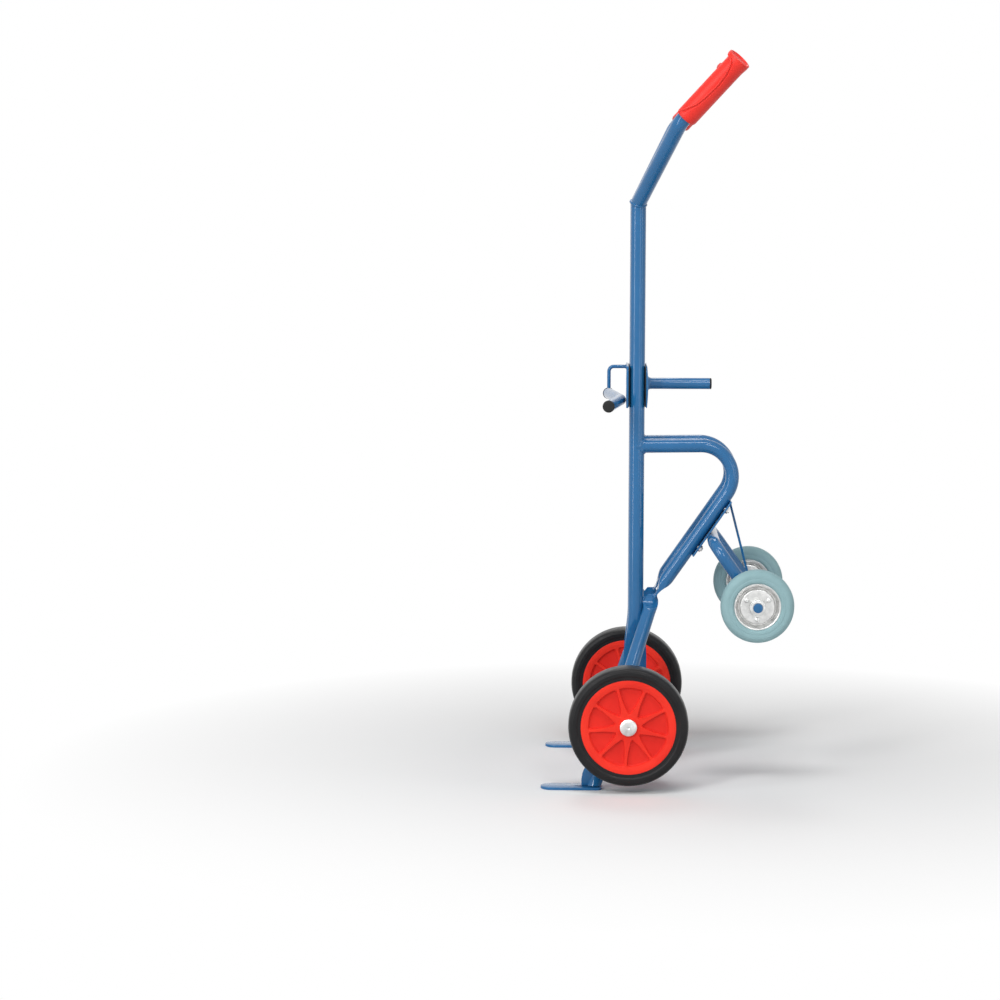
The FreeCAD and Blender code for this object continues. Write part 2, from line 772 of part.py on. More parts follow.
guide_w = 2 * (mast_half - mast_r - slide_gap)
parts["carriage_front_plate"] = one(sheet(front_plate, front_plate_t, carriage_w, carriage_h).cut(sinks))
parts["carriage_back_plate"] = back_plate()
pad_w = carriage_w - 2 * pad_edge
pad_h = carriage_h - 2 * pad_edge
parts["front_slide_pad"] = one(sheet(front_pad, pad_t, pad_w, pad_h))
parts["rear_slide_pad"] = one(sheet(back_face, pad_t, pad_w, pad_h))
parts["guide_block"] = one(sheet(front_face, back_face - front_face, guide_w, guide_h))

parts["carriage_screws"] = Part.makeCompound(screws)


def drum_hook():
    root = V(front_plate, 0, carriage_top - hook_edge)
    elbow = root - V(hook_reach, 0, 0)
    tip = elbow - up * hook_drop
    point = Part.makeCone(hook_d / 2, hook_d / 4, hook_d / 2, tip, up * -1)
    return one(bent_tube([root, elbow, tip], hook_bend_r, hook_d).fuse(point))


rest_turn = math.atan2(rest_forward, rest_half)
rest_sag = rest_bend_r * (1 / math.cos(rest_turn) - 1)
rest_middle = V(front_plate - weld_gap - rest_d / 2 + rest_sag, 0, carriage_z - rest_down)
rest_end = rest_middle + V(-rest_forward, -rest_half, 0)


def end_cap(place, way, tube_d, wall, head_d):
    # A push-in plug with a rounded head
    plug_r = tube_d / 2 - wall - fit_gap
    head_r = head_d / 2
    profile = [(0, -cap_plug_len), (plug_r, -cap_plug_len), (plug_r, fit_gap),
               (head_r, fit_gap), (head_r, cap_t * 0.6), (head_r - cap_t * 0.4, cap_t), (0, cap_t)]
    return turned(profile, place, way)


parts["drum_hook"] = drum_hook()
parts["rest_bar"] = one(bent_tube([rest_end, rest_middle, other_side(Part.Vertex(rest_end)).Point],
                                  rest_bend_r, rest_d, rest_wall))
parts["rest_bar_caps"] = pair(end_cap(rest_end, unit(rest_end - rest_middle), rest_d, rest_wall, cap_d))


def pull_handle():
    root = V(back_crown, 0, carriage_z + pull_up)
    tube = ring(root, root + V(pull_len, 0, 0), pull_d / 2, pull_d / 2 - pull_wall)
    foot_ring = turned([(pull_d / 2 - pull_wall, 0), (pull_foot_d / 2, 0), (pull_d / 2 + 1.5, pull_foot_h / 2),
                        (pull_d / 2, pull_foot_h), (pull_d / 2 - pull_wall, pull_foot_h)], root, V(1, 0, 0))
    return one(tube.fuse(foot_ring))


pull_end = V(back_crown + pull_len, 0, carriage_z + pull_up)
parts["pull_handle"] = pull_handle()
parts["pull_handle_plug"] = end_cap(pull_end, V(1, 0, 0), pull_d, pull_wall, pull_d)

# The origin moves to the middle of the base
front_limit = foot_x - toe_reach
back_limit = support_x + support_r
to_base = V(-(front_limit + back_limit) / 2, 0, 0)
os.makedirs("parts", exist_ok=True)
for name, shape in parts.items():
    shape.translate(to_base)
    shape.exportStep(os.path.join("parts", name + ".step"))
    if not shape.isValid():
        print("not valid:", name)
print("pieces:", len(parts), "base shift:", round(to_base.x, 2))
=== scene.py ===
import bpy
import bmesh
import json
import math
from mathutils import Matrix, Vector


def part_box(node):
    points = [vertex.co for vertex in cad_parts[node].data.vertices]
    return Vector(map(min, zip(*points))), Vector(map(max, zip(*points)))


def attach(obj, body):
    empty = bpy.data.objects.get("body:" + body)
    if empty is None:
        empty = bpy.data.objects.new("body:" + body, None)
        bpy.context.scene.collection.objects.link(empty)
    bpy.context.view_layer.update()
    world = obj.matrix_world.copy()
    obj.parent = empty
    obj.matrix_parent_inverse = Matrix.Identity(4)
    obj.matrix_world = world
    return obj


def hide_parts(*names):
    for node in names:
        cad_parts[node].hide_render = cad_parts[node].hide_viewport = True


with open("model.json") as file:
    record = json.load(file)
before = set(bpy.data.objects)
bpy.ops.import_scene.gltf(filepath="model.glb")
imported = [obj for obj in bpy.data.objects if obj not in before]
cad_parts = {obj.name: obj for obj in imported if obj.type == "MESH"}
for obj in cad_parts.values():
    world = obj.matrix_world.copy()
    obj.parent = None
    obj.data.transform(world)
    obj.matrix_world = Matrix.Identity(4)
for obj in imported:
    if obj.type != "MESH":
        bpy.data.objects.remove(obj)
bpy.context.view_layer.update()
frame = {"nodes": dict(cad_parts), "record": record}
nodes = frame["nodes"]
print("frame loaded,", len(nodes), "nodes")

mm = 0.001
samePlace = 1e-6  # points this close count as one when they are looked up
doubles = 0.000005  # points this close are merged
overrun = 0.04  # length of tube beyond a cut that takes it off
bendStep = 0.07  # radians from ring to ring in a bend
axleHeight = 147
wheelTrack = 275  # from the middle plane to the middle of a main wheel
axleLow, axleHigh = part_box("main_axle")
axleX = (axleLow.x + axleHigh.x) / 2
upWay = Vector((0, 0, 1))
crossWay = Vector((0, 1, 0))
backWay = Vector((1, 0, 0))


def at(x, y, z):  # millimetres from the main axle's line, the middle plane and the floor
    return Vector((axleX + x * mm, y * mm, z * mm))


mainAxle = at(0, 0, axleHeight)
supportAxle = at(279, 0, 399.5)


def noiseOf(tree, place, scale, detail):
    noise = tree.nodes.new("ShaderNodeTexNoise")
    noise.inputs["Scale"].default_value = scale
    noise.inputs["Detail"].default_value = detail
    tree.links.new(place, noise.inputs["Vector"])
    return noise.outputs["Fac"]


def colourBetween(tree, factor, low, high, start=0.3, end=0.7):
    ramp = tree.nodes.new("ShaderNodeValToRGB")
    ramp.color_ramp.elements[0].position = start
    ramp.color_ramp.elements[0].color = (*low, 1)
    ramp.color_ramp.elements[1].position = end
    ramp.color_ramp.elements[1].color = (*high, 1)
    tree.links.new(factor, ramp.inputs["Fac"])
    return ramp.outputs["Color"]


def valueBetween(tree, factor, low, high, start=0.3, end=0.7):
    span = tree.nodes.new("ShaderNodeMapRange")
    span.inputs["From Min"].default_value = start
    span.inputs["From Max"].default_value = end
    span.inputs["To Min"].default_value = low
    span.inputs["To Max"].default_value = high
    tree.links.new(factor, span.inputs["Value"])
    return span.outputs["Result"]


def raisedBy(tree, shader, height, strength, distance, under=None):
    bump = tree.nodes.new("ShaderNodeBump")
    bump.inputs["Strength"].default_value = strength
    bump.inputs["Distance"].default_value = distance
    tree.links.new(height, bump.inputs["Height"])
    if under:
        tree.links.new(under, bump.inputs["Normal"])
    tree.links.new(bump.outputs["Normal"], shader.inputs["Normal"])
    return bump.outputs["Normal"]


def mathOf(tree, operation, first, second=0):
    # the second value is a socket or a plain number
    step = tree.nodes.new("ShaderNodeMath")
    step.operation = operation
    tree.links.new(first, step.inputs[0])
    if isinstance(second, (int, float)):
        step.inputs[1].default_value = second
    else:
        tree.links.new(second, step.inputs[1])
    return step.outputs[0]


def splitOf(tree, place):
    split = tree.nodes.new("ShaderNodeSeparateXYZ")
    tree.links.new(place, split.inputs["Vector"])
    return split.outputs


def ringsAbout(tree, place, centre, spacing):
    # fine turned lines round a wheel's axle, which lies along Y
    split = splitOf(tree, place)
    squares = [mathOf(tree, "POWER", mathOf(tree, "SUBTRACT", split[axis], middle), 2)
               for axis, middle in (("X", centre.x), ("Z", centre.z))]
    reach = mathOf(tree, "SQRT", mathOf(tree, "ADD", *squares))
    return mathOf(tree, "SINE", mathOf(tree, "MULTIPLY", reach, 2 * math.pi / spacing))


def recessOf(tree, place, track):
    # distance from a wheel's middle plane, the same on both flanks of both wheels
    fromTrack = mathOf(tree, "SUBTRACT", mathOf(tree, "ABSOLUTE", splitOf(tree, place)["Y"]), track)
    return mathOf(tree, "ABSOLUTE", fromTrack)


def timesColour(tree, first, second):
    mix = tree.nodes.new("ShaderNodeMix")
    mix.data_type = "RGBA"
    mix.blend_type = "MULTIPLY"
    mix.inputs["Factor"].default_value = 1
    tree.links.new(first, mix.inputs[6])
    tree.links.new(second, mix.inputs[7])
    return mix.outputs[2]


def newFinish(name, look):
    # mottled colour, uneven roughness and a slight bump, all from noise on Object coordinates, and where
    # asked painted shade deep in a wheel's pockets
    material = bpy.data.materials.new(name)
    material.use_nodes = True
    tree = material.node_tree
    shader = tree.nodes["Principled BSDF"]
    for key, value in look["shader"].items():
        shader.inputs[key].default_value = value
    place = tree.nodes.new("ShaderNodeTexCoord").outputs["Object"]
    colour = colourBetween(tree, noiseOf(tree, place, *look["clouds"]), look["dark"], look["light"])
    if "recess" in look:  # painted shade: darker deep in a wheel's pockets, standing in for the shade that falls in the recesses
        depth = recessOf(tree, place, wheelTrack * mm)
        pocketShade = colourBetween(tree, depth, look["recess"], (1, 1, 1), *look["depths"])
        colour = timesColour(tree, colour, pocketShade)
    tree.links.new(colour, shader.inputs["Base Color"])
    scale, detail, low, high = look["rough"]
    rough = valueBetween(tree, noiseOf(tree, place, scale, detail), low, high)
    tree.links.new(rough, shader.inputs["Roughness"])
    scale, strength, distance = look["bump"]
    lines = None
    if "rings" in look:
        lines = raisedBy(tree, shader, ringsAbout(tree, place, *look["rings"]), strength, distance)
    raisedBy(tree, shader, noiseOf(tree, place, scale, 1), strength, distance, lines)
    return material


# clouds: scale and detail of the noise, rough: the same and the roughness from and to,
# bump: scale of the noise, strength and distance
bluePaint = {"dark": (0.014, 0.128, 0.315), "light": (0.019, 0.147, 0.355), "clouds": (9, 3),
             "rough": (60, 3, 0.22, 0.32), "bump": (24, 0.008, 0.0005),  # waviness of the sprayed coat
             "shader": {"Specular IOR Level": 0.05, "Coat Weight": 0.75, "Coat Roughness": 0.1}}
rimRed = {"dark": (0.84, 0.030, 0.017), "light": (0.93, 0.040, 0.021), "clouds": (18, 3),
          # recess: the colour the rim is multiplied by at the pocket floors, painted shade for the recesses;
          # depths: from and to, in metres from the wheel's middle plane
          "recess": (0.84, 0.64, 0.76), "depths": (0.0185, 0.0245),
          "rough": (90, 3, 0.36, 0.5), "bump": (80, 0.05, 0.0004),  # sink marks of the moulding
          "shader": {"Specular IOR Level": 0.2}}
gripRed = {"dark": (0.76, 0.026, 0.018), "light": (0.87, 0.036, 0.024), "clouds": (14, 3),
           "rough": (120, 3, 0.38, 0.5), "bump": (60, 0.02, 0.0004),  # soft, slightly uneven moulding
           "shader": {"Specular IOR Level": 0.35}}
tyreBlack = {"dark": (0.010, 0.010, 0.011), "light": (0.016, 0.016, 0.017), "clouds": (26, 4),
             "rough": (70, 3, 0.3, 0.44), "bump": (90, 0.05, 0.0004), "rings": (mainAxle, 0.0062),
             "shader": {"Specular IOR Level": 0.2}}
tyreGrey = {"dark": (0.265, 0.425, 0.452), "light": (0.305, 0.475, 0.505), "clouds": (26, 4),
            "rough": (70, 3, 0.5, 0.66), "bump": (90, 0.05, 0.0004), "rings": (supportAxle, 0.0062),
            "shader": {"Specular IOR Level": 0.2}}
zinc = {"dark": (0.58, 0.585, 0.58), "light": (0.80, 0.80, 0.79), "clouds": (85, 5),
        "rough": (160, 4, 0.26, 0.44), "bump": (110, 0.05, 0.0004), "shader": {"Metallic": 1.0}}
blackPlastic = {"dark": (0.008, 0.009, 0.009), "light": (0.014, 0.015, 0.015), "clouds": (40, 3),
                "rough": (150, 3, 0.42, 0.58), "bump": (100, 0.05, 0.0003),
                "shader": {"Specular IOR Level": 0.25}}
finishes = {
    "blue_paint": newFinish("bluePaint", bluePaint),
    "rim_red": newFinish("rimRed", rimRed),
    "grip_red": newFinish("gripRed", gripRed),
    "tyre_black": newFinish("tyreBlack", tyreBlack),
    "tyre_grey": newFinish("tyreGrey", tyreGrey),
    "zinc": newFinish("zinc", zinc),
    "black_plastic": newFinish("blackPlastic", blackPlastic),
}
print("finishes made:", len(finishes))


def clearSelection():
    if bpy.context.object and bpy.context.object.mode != "OBJECT":
        bpy.ops.object.mode_set(mode="OBJECT")
    bpy.ops.object.select_all(action="DESELECT")


def focus(obj):
    clearSelection()
    obj.select_set(True)
    bpy.context.view_layer.objects.active = obj


def editAll(obj):
    focus(obj)
    bpy.ops.object.mode_set(mode="EDIT")
    bpy.ops.mesh.select_all(action="SELECT")


def leaveEdit():
    bpy.ops.object.mode_set(mode="OBJECT")


def newest(name):
    obj = bpy.context.object
    obj.name = name
    obj.data.name = name
    bpy.ops.object.transform_apply(location=True, rotation=True, scale=True)
    return obj


def pickVerts(obj, test):
    mesh = bmesh.from_edit_mesh(obj.data)
    bpy.ops.mesh.select_mode(type="VERT")
    for vert in mesh.verts:
        vert.select = test(vert.co)
    mesh.select_flush_mode()
    bmesh.update_edit_mesh(obj.data)


def pickEdges(obj, test):
    mesh = bmesh.from_edit_mesh(obj.data)
    bpy.ops.mesh.select_mode(type="EDGE")
    for edge in mesh.edges:
        edge.select = test(edge.verts[0].co, edge.verts[1].co)
    mesh.select_flush_mode()
    bmesh.update_edit_mesh(obj.data)


def useModifier(obj, kind, **settings):
    focus(obj)
    modifier = obj.modifiers.new(kind, kind)
    for key, value in settings.items():
        setattr(modifier, key, value)
    bpy.ops.object.modifier_apply(modifier=modifier.name)


def smooth(obj, angle=35):
    focus(obj)
    bpy.ops.object.shade_smooth_by_angle(angle=math.radians(angle))


def joinAll(name, objs):
    clearSelection()
    for obj in objs:
        obj.select_set(True)
    bpy.context.view_layer.objects.active = objs[0]
    if len(objs) > 1:
        bpy.ops.object.join()
    objs[0].name = name
    objs[0].data.name = name
    return objs[0]


def copyOf(obj, name):
    focus(obj)
    bpy.ops.object.duplicate(linked=False)
    copy = bpy.context.object
    copy.name = name
    copy.data.name = name
    return copy


def movedCopy(obj, name, move):
    copy = copyOf(obj, name)
    editAll(copy)
    bpy.ops.transform.translate(value=move)
    leaveEdit()
    return copy


def acrossCopy(obj, name):  # the other hand of a piece, through the middle plane
    copy = copyOf(obj, name)
    editAll(copy)
    bpy.ops.transform.resize(value=(1, -1, 1), center_override=(0, 0, 0))
    bpy.ops.mesh.flip_normals()
    leaveEdit()
    return copy


def settle(obj, body, slot, *replaced):
    obj.data.materials.clear()
    obj.data.materials.append(finishes[slot])
    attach(obj, body)
    if replaced:
        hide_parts(*replaced)


def settlePair(obj, name, body, slot):  # left and right copies, each in place of its own node
    right = acrossCopy(obj, "right_" + name + "_look")
    settle(obj, body, slot, "left_" + name)
    settle(right, body, slot, "right_" + name)


def settleWelds(weld):  # a weld on the left, and its copy on the right
    settle(acrossCopy(weld, weld.name.replace("left", "right")), "frame", "blue_paint")
    settle(weld, "frame", "blue_paint")


def placing(xWay, yWay, zWay, origin):
    turn = Matrix((xWay, yWay, zWay)).transposed().to_4x4()
    turn.translation = origin
    return turn


def cutAway(obj, cutter):
    useModifier(obj, "BOOLEAN", operation="DIFFERENCE", object=cutter, solver="EXACT")
    bpy.data.objects.remove(cutter)


def roundEdges(obj, edge):
    useModifier(obj, "BEVEL", width=edge * mm, segments=3, limit_method="ANGLE", angle_limit=math.radians(40))
    smooth(obj)


def ringAt(name, centre, way, radius, sides=48):
    clearSelection()
    bpy.ops.mesh.primitive_circle_add(vertices=sides, radius=radius, location=centre,
                                      rotation=way.to_track_quat("Z", "Y").to_euler())
    ring = newest(name)
    editAll(ring)
    return ring


def pullRing(move):
    bpy.ops.mesh.extrude_region_move(TRANSFORM_OT_translate={"value": move})


def runTube(name, route, radius, bendRadius=0, sides=48):
    # straight runs by extrusion, bends by spin; leaves the last ring selected in edit mode
    tube = ringAt(name, route[0], route[1] - route[0], radius, sides)
    place = route[0]
    for before, corner, after in zip(route, route[1:], route[2:]):
        coming = (corner - before).normalized()
        going = (after - corner).normalized()
        turn = coming.angle(going)
        back = bendRadius * math.tan(turn / 2)
        bendStart = corner - coming * back
        inward = (going - coming * coming.dot(going)).normalized()
        pullRing(bendStart - place)
        bpy.ops.mesh.spin(steps=max(8, round(turn / bendStep)), angle=-turn,
                          center=bendStart + inward * bendRadius, axis=coming.cross(going).normalized())
        place = corner + going * back
    pullRing(route[-1] - place)
    return tube


def pressRing(tube, centre, wide, thin, wideHalf, thinHalf, share):
    # gives the selected ring its half width and thickness, round at no share and nearly square at a full one
    mesh = bmesh.from_edit_mesh(tube.data)
    power = 2 / (2 + 6 * share)  # the section's exponent goes from 2 to 8
    for vert in mesh.verts:
        if vert.select:
            offset = vert.co - centre
            angle = math.atan2(offset.dot(thin), offset.dot(wide))
            along = math.copysign(abs(math.cos(angle)) ** power, math.cos(angle)) * wideHalf
            out = math.copysign(abs(math.sin(angle)) ** power, math.sin(angle)) * thinHalf
            vert.co = centre + wide * along + thin * out
    bmesh.update_edit_mesh(tube.data)


def pressEnd(tube, start, way, wide, thin, size, steps=14):
    # pulls the tube on and presses it flat along the taper, then closes the flat end
    place = start
    for count in range(1, steps + 1):
        share = count / steps
        share = share * share * (3 - 2 * share)
        pullRing(way * (size["taper"] * mm / steps))
        place = place + way * (size["taper"] * mm / steps)
        wideHalf = size["radius"] + (size["flatWide"] / 2 - size["radius"]) * share
        thinHalf = size["radius"] + (size["flatThick"] / 2 - size["radius"]) * share
        pressRing(tube, place, wide, thin, wideHalf * mm, thinHalf * mm, share)
    pullRing(way * (size["flatLong"] * mm))
    bpy.ops.mesh.edge_face_add()


def capEnds():  # closes open ring ends with flat faces
    bpy.ops.mesh.select_all(action="DESELECT")
    bpy.ops.mesh.select_mode(type="EDGE")
    bpy.ops.mesh.select_non_manifold(extend=False, use_wire=False, use_boundary=True, use_multi_face=False,
                                     use_non_contiguous=False, use_verts=False)
    bpy.ops.mesh.edge_face_add()


def outwards():
    bpy.ops.mesh.select_all(action="SELECT")
    bpy.ops.mesh.remove_doubles(threshold=doubles)
    bpy.ops.mesh.delete_loose()
    bpy.ops.mesh.select_all(action="SELECT")
    bpy.ops.mesh.normals_make_consistent(inside=False)


def cutTube(tube, place, way, side, angle=35):
    # takes off what lies on one side of a plane and closes the tube there
    bpy.ops.mesh.select_all(action="SELECT")
    bpy.ops.mesh.bisect(plane_co=place, plane_no=way, use_fill=True, clear_outer=side == "outer",
                        clear_inner=side == "inner")
    outwards()
    leaveEdit()
    smooth(tube, angle)


def hollowTube(tube, wall):
    outwards()
    leaveEdit()
    useModifier(tube, "SOLIDIFY", thickness=wall * mm, offset=-1, use_rim=True)
    smooth(tube)


def loopOf(name, points):
    # a closed loop of points with its face, from a circle of as many points
    clearSelection()
    bpy.ops.mesh.primitive_circle_add(vertices=len(points), radius=0.01, fill_type="NGON")
    loop = newest(name)
    for vert, point in zip(loop.data.vertices, points):
        vert.co = point
    return loop


def lathe(name, corners, centre, axis, steps=96):
    # corners are (radius, height, rounding) in millimetres, listed round the section
    side = backWay if abs(axis.x) < 0.9 else crossWay
    side = (side - axis * side.dot(axis)).normalized()
    places = [centre + side * (radius * mm) + axis * (height * mm) for radius, height, rounding in corners]
    shape = loopOf(name, places)
    editAll(shape)
    for rounding in sorted({corner[2] for corner in corners if corner[2]}):
        chosen = [place for place, corner in zip(places, corners) if corner[2] == rounding]
        pickVerts(shape, lambda co: any((co - place).length < samePlace for place in chosen))
        bpy.ops.mesh.bevel(offset=rounding * mm, offset_type="OFFSET", affect="VERTICES", segments=4,
                           clamp_overlap=True)
    bpy.ops.mesh.select_all(action="SELECT")
    bpy.ops.mesh.delete(type="ONLY_FACE")
    bpy.ops.mesh.select_all(action="SELECT")
    bpy.ops.mesh.spin(steps=steps, angle=2 * math.pi, center=centre, axis=axis)
    outwards()
    leaveEdit()
    return shape


def bothFlanks(corners):  # the section's other flank, mirrored
    return corners + [(radius, -height, rounding) for radius, height, rounding in reversed(corners)]


weldGrain = bpy.data.textures.new("weldGrain", "CLOUDS")
weldGrain.noise_scale = 0.006


def grained(weld, bead, grain=0.55):
    useModifier(weld, "DISPLACE", texture=weldGrain, texture_coords="GLOBAL", strength=bead * mm * grain,
                mid_level=0.5)
    smooth(weld, 80)
    return weld


def weldBead(name, centre, normal, radius, bead=2.2, longWay=None, longer=1.0, bend=None, grain=0.55):
    # a bead round a joint: a ring, stretched along longWay on a mitre or bent over a round tube
    clearSelection()
    bpy.ops.mesh.primitive_torus_add(major_segments=96, minor_segments=10, major_radius=radius,
                                     minor_radius=bead * mm)
    ring = bpy.context.object
    if longWay:
        ring.scale = (longer, 1, 1)
        bpy.ops.object.transform_apply(location=True, rotation=True, scale=True)
        turn = longWay.to_track_quat("X", "Z")
        tilt = (turn @ upWay).rotation_difference(normal)
        ring.rotation_euler = (tilt @ turn).to_euler()
    else:
        ring.rotation_euler = normal.to_track_quat("Z", "Y").to_euler()
    ring.location = centre
    newest(name)
    if bend:
        editAll(ring)
        mesh = bmesh.from_edit_mesh(ring.data)
        for vert in mesh.verts:
            vert.co = bend(vert.co)
        bmesh.update_edit_mesh(ring.data)
        leaveEdit()
    return grained(ring, bead, grain)


def weldSeam(name, start, end, bead):
    # a straight bead, thick in the middle
    clearSelection()
    bpy.ops.mesh.primitive_uv_sphere_add(segments=20, ring_count=40, radius=bead * mm,
                                         location=(start + end) / 2,
                                         rotation=(end - start).to_track_quat("Z", "Y").to_euler(),
                                         scale=(1, 1, (end - start).length / 2 / (bead * mm)))
    seam = newest(name)
    return grained(seam, bead)


mast = {"back": 16.5, "half": 55, "radius": 16.85, "top": 1270, "pressFrom": 362, "taper": 100,
        "flatWide": 49, "flatThick": 6, "flatLong": 131}
handle = {"bend": (101.5, 240, 1440), "gripEnd": (224.5, 288, 1573), "bendRadius": 45, "sunk": 7}
mastHead = at(mast["back"], -mast["half"], mast["top"])
handleBend = at(handle["bend"][0], -handle["bend"][1], handle["bend"][2])
gripEnd = at(handle["gripEnd"][0], -handle["gripEnd"][1], handle["gripEnd"][2])
handleWay = (handleBend - mastHead).normalized()
gripWay = (gripEnd - handleBend).normalized()
mitreWay = (upWay + handleWay).normalized()


def mastTube():
    top = mastHead + upWay * overrun
    pressStart = at(mast["back"], -mast["half"], mast["pressFrom"])
    tube = runTube("left_mast_tube_look", [top, pressStart], mast["radius"] * mm, sides=56)
    pressEnd(tube, pressStart, -upWay, backWay, crossWay, mast)
    cutTube(tube, mastHead, mitreWay, "outer")
    return tube


def handleTube():
    end = gripEnd - gripWay * (handle["sunk"] * mm)
    tube = runTube("left_handle_tube_look", [mastHead - handleWay * overrun, handleBend, end],
                   mast["radius"] * mm, handle["bendRadius"] * mm, sides=56)
    bpy.ops.mesh.edge_face_add()
    cutTube(tube, mastHead, mitreWay, "inner")
    return tube


settlePair(mastTube(), "mast_tube", "frame", "blue_paint")
settlePair(handleTube(), "handle_tube", "frame", "blue_paint")
mitreLean = upWay.angle(mitreWay)
mitreLong = (handleWay - mitreWay * handleWay.dot(mitreWay)).normalized()
mitreWeld = weldBead("left_mitre_weld", mastHead, mitreWay, mast["radius"] * mm, bead=2.3,
                     longWay=mitreLong, longer=1 / math.cos(mitreLean), grain=0.3)
settleWelds(mitreWeld)
print("mast and handles done")

grip = {"long": 172, "core": 21.6, "guard": 25.2, "flare": 26.7, "edge": 10, "dish": 3, "voxel": 0.55,
        "lip": 2.3, "lipRadius": 24.6, "lipFrom": 2.5, "groove": 1.5, "grooveFrom": 10, "grooveTo": 12,
        "aside": 3.6, "clear": 9, "coreIn": 0.6, "coreShort": 6, "cutReach": 1.6, "windowSide": 25,
        "windowRound": 12,
        "window": [(54, -8), (24, -8), (20, -1), (16.5, 8), (12.5, 17), (7.5, 29), (1.5, 43), (-1.5, 63),
                   (-3.8, 101), (-1, 131), (5, 152), (11, 159), (19, 162.5), (26, 163.3), (54, 163.3)]}


def gripWindow():
    # the cut through which the palm meets the core, as a prism across the grip, and its outline
    reach = grip["cutReach"] * grip["flare"]
    window = loopOf("gripWindow", [Vector((x, -reach, z)) * mm for x, z in grip["window"]])
    editAll(window)
    pickVerts(window, lambda co: co.x < grip["windowSide"] * mm)
    bpy.ops.mesh.bevel(offset=grip["windowRound"] * mm, affect="VERTICES", segments=6, clamp_overlap=True)
    leaveEdit()
    outline = [window.data.vertices[place].co.copy() for place in window.data.polygons[0].vertices]
    editAll(window)
    bpy.ops.mesh.extrude_region_move(TRANSFORM_OT_translate={"value": (0, 2 * reach * mm, 0)})
    outwards()
    leaveEdit()
    return window, outline


def gripEdge(outline, aside, radius, lowest, widest):
    # the line of the guard's edge on the grip's round, on the outboard side of the window
    edge = sorted((co for co in outline if co.x < 1.1 * radius and co.z > lowest), key=lambda co: co.z)
    line = []
    for before, co, after in zip(edge, edge[1:], edge[2:]):
        along = (after - before).normalized()
        x, z = co.x - along.z * aside, co.z + along.x * aside
        if x < widest and z > lowest:
            line.append(Vector((x, -math.sqrt(radius ** 2 - x ** 2), z)))
    return line


def roundBar(name, points, thick):
    bar = loopOf(name, points)
    editAll(bar)
    bpy.ops.mesh.delete(type="ONLY_FACE")
    leaveEdit()
    focus(bar)
    bpy.ops.object.convert(target="CURVE")
    bar = bpy.context.object
    bar.data.bevel_depth = thick
    bar.data.bevel_resolution = 3
    bpy.ops.object.convert(target="MESH")
    return bpy.context.object


def gripLip(outline):  # one bead round the window, its lower ends joined inside the core
    radius = grip["lipRadius"] * mm
    line = gripEdge(outline, 0, radius, grip["lipFrom"] * mm, radius)
    other = [Vector((co.x, -co.y, co.z)) for co in reversed(line)]
    return roundBar("gripLip", line + other, grip["lip"] * mm)


def gripGroove(outline):  # a cutter along the bead that turns back clear of the grip
    line = gripEdge(outline, grip["aside"] * mm, grip["guard"] * mm, grip["grooveFrom"] * mm,
                    grip["grooveTo"] * mm)
    clear = [co + Vector((co.x, co.y, 0)).normalized() * (grip["clear"] * mm) for co in reversed(line)]
    cutter = roundBar("gripGroove", line + clear, grip["groove"] * mm)
    useModifier(cutter, "MIRROR", use_axis=(False, True, False), use_mirror_merge=False)
    return cutter


def gripPiece():
    # a core for the palm and the guard round its back
    long, core, guard, flare, edge = (grip[key] for key in ("long", "core", "guard", "flare", "edge"))
    dishFloor = long - grip["dish"]
    section = [(0, 0, 0), (guard - 1.5, 0, 2.5), (guard, 5, 4), (guard, long - 2 * edge, 8),
               (flare, long - edge, 4), (flare, long, 1.4), (flare - 4, long, 0.8),
               (flare - 6, dishFloor, 1.5), (0, dishFloor, 0)]
    shell = lathe("left_grip_look", section, Vector((0, 0, 0)), upWay, steps=72)
    window, outline = gripWindow()
    cutAway(shell, window)
    cutAway(shell, gripGroove(outline))
    low, high = grip["coreIn"], long - grip["coreShort"]
    middle = lathe("gripCore", [(0, low, 0), (core, low, 2), (core, high, 1), (0, high, 0)],
                   Vector((0, 0, 0)), upWay, steps=72)
    whole = joinAll("left_grip_look", [shell, middle, gripLip(outline)])
    useModifier(whole, "REMESH", mode="VOXEL", voxel_size=grip["voxel"] * mm)
    useModifier(whole, "SMOOTH", factor=0.5, iterations=3)
    useModifier(whole, "DECIMATE", ratio=0.4)
    outboard = (-crossWay - gripWay * (-crossWay).dot(gripWay)).normalized()
    palm = outboard.cross(gripWay)
    whole.matrix_world = placing(palm, -outboard, gripWay, gripEnd - gripWay * (long * mm))
    focus(whole)
    bpy.ops.object.transform_apply(location=True, rotation=True, scale=True)
    bpy.ops.object.shade_smooth()
    return whole


settlePair(gripPiece(), "grip", "frame", "grip_red")
print("grips done")

rear = {"radius": 15, "runZ": 734, "rise": 0.7, "bendRadius": 69, "lean": 34.65, "knuckle": (55.5, 395),
        "taper": 46, "flatWide": 40, "flatThick": 5, "flatLong": 8, "clear": 1, "sunk": 7, "weldOut": 0.6}
lean = math.radians(rear["lean"])
diagonal = Vector((math.sin(lean), 0, math.cos(lean)))
offDiagonal = Vector((-math.cos(lean), 0, math.sin(lean)))
knuckle = at(rear["knuckle"][0], 0, rear["knuckle"][1])
riseSlope = math.tan(math.radians(rear["rise"]))
runHeight = (rear["runZ"] - rear["knuckle"][1] + (rear["knuckle"][0] - mast["back"]) * riseSlope) * mm
rearCorner = knuckle + diagonal * (runHeight / (diagonal.z - diagonal.x * riseSlope))
runStart = at(mast["back"], 0, rear["runZ"])


def onDiagonal(along, side, out):  # millimetres along the diagonal, sideways, and out below it
    return knuckle + diagonal * (along * mm) + crossWay * (side * mm) - offDiagonal * (out * mm)


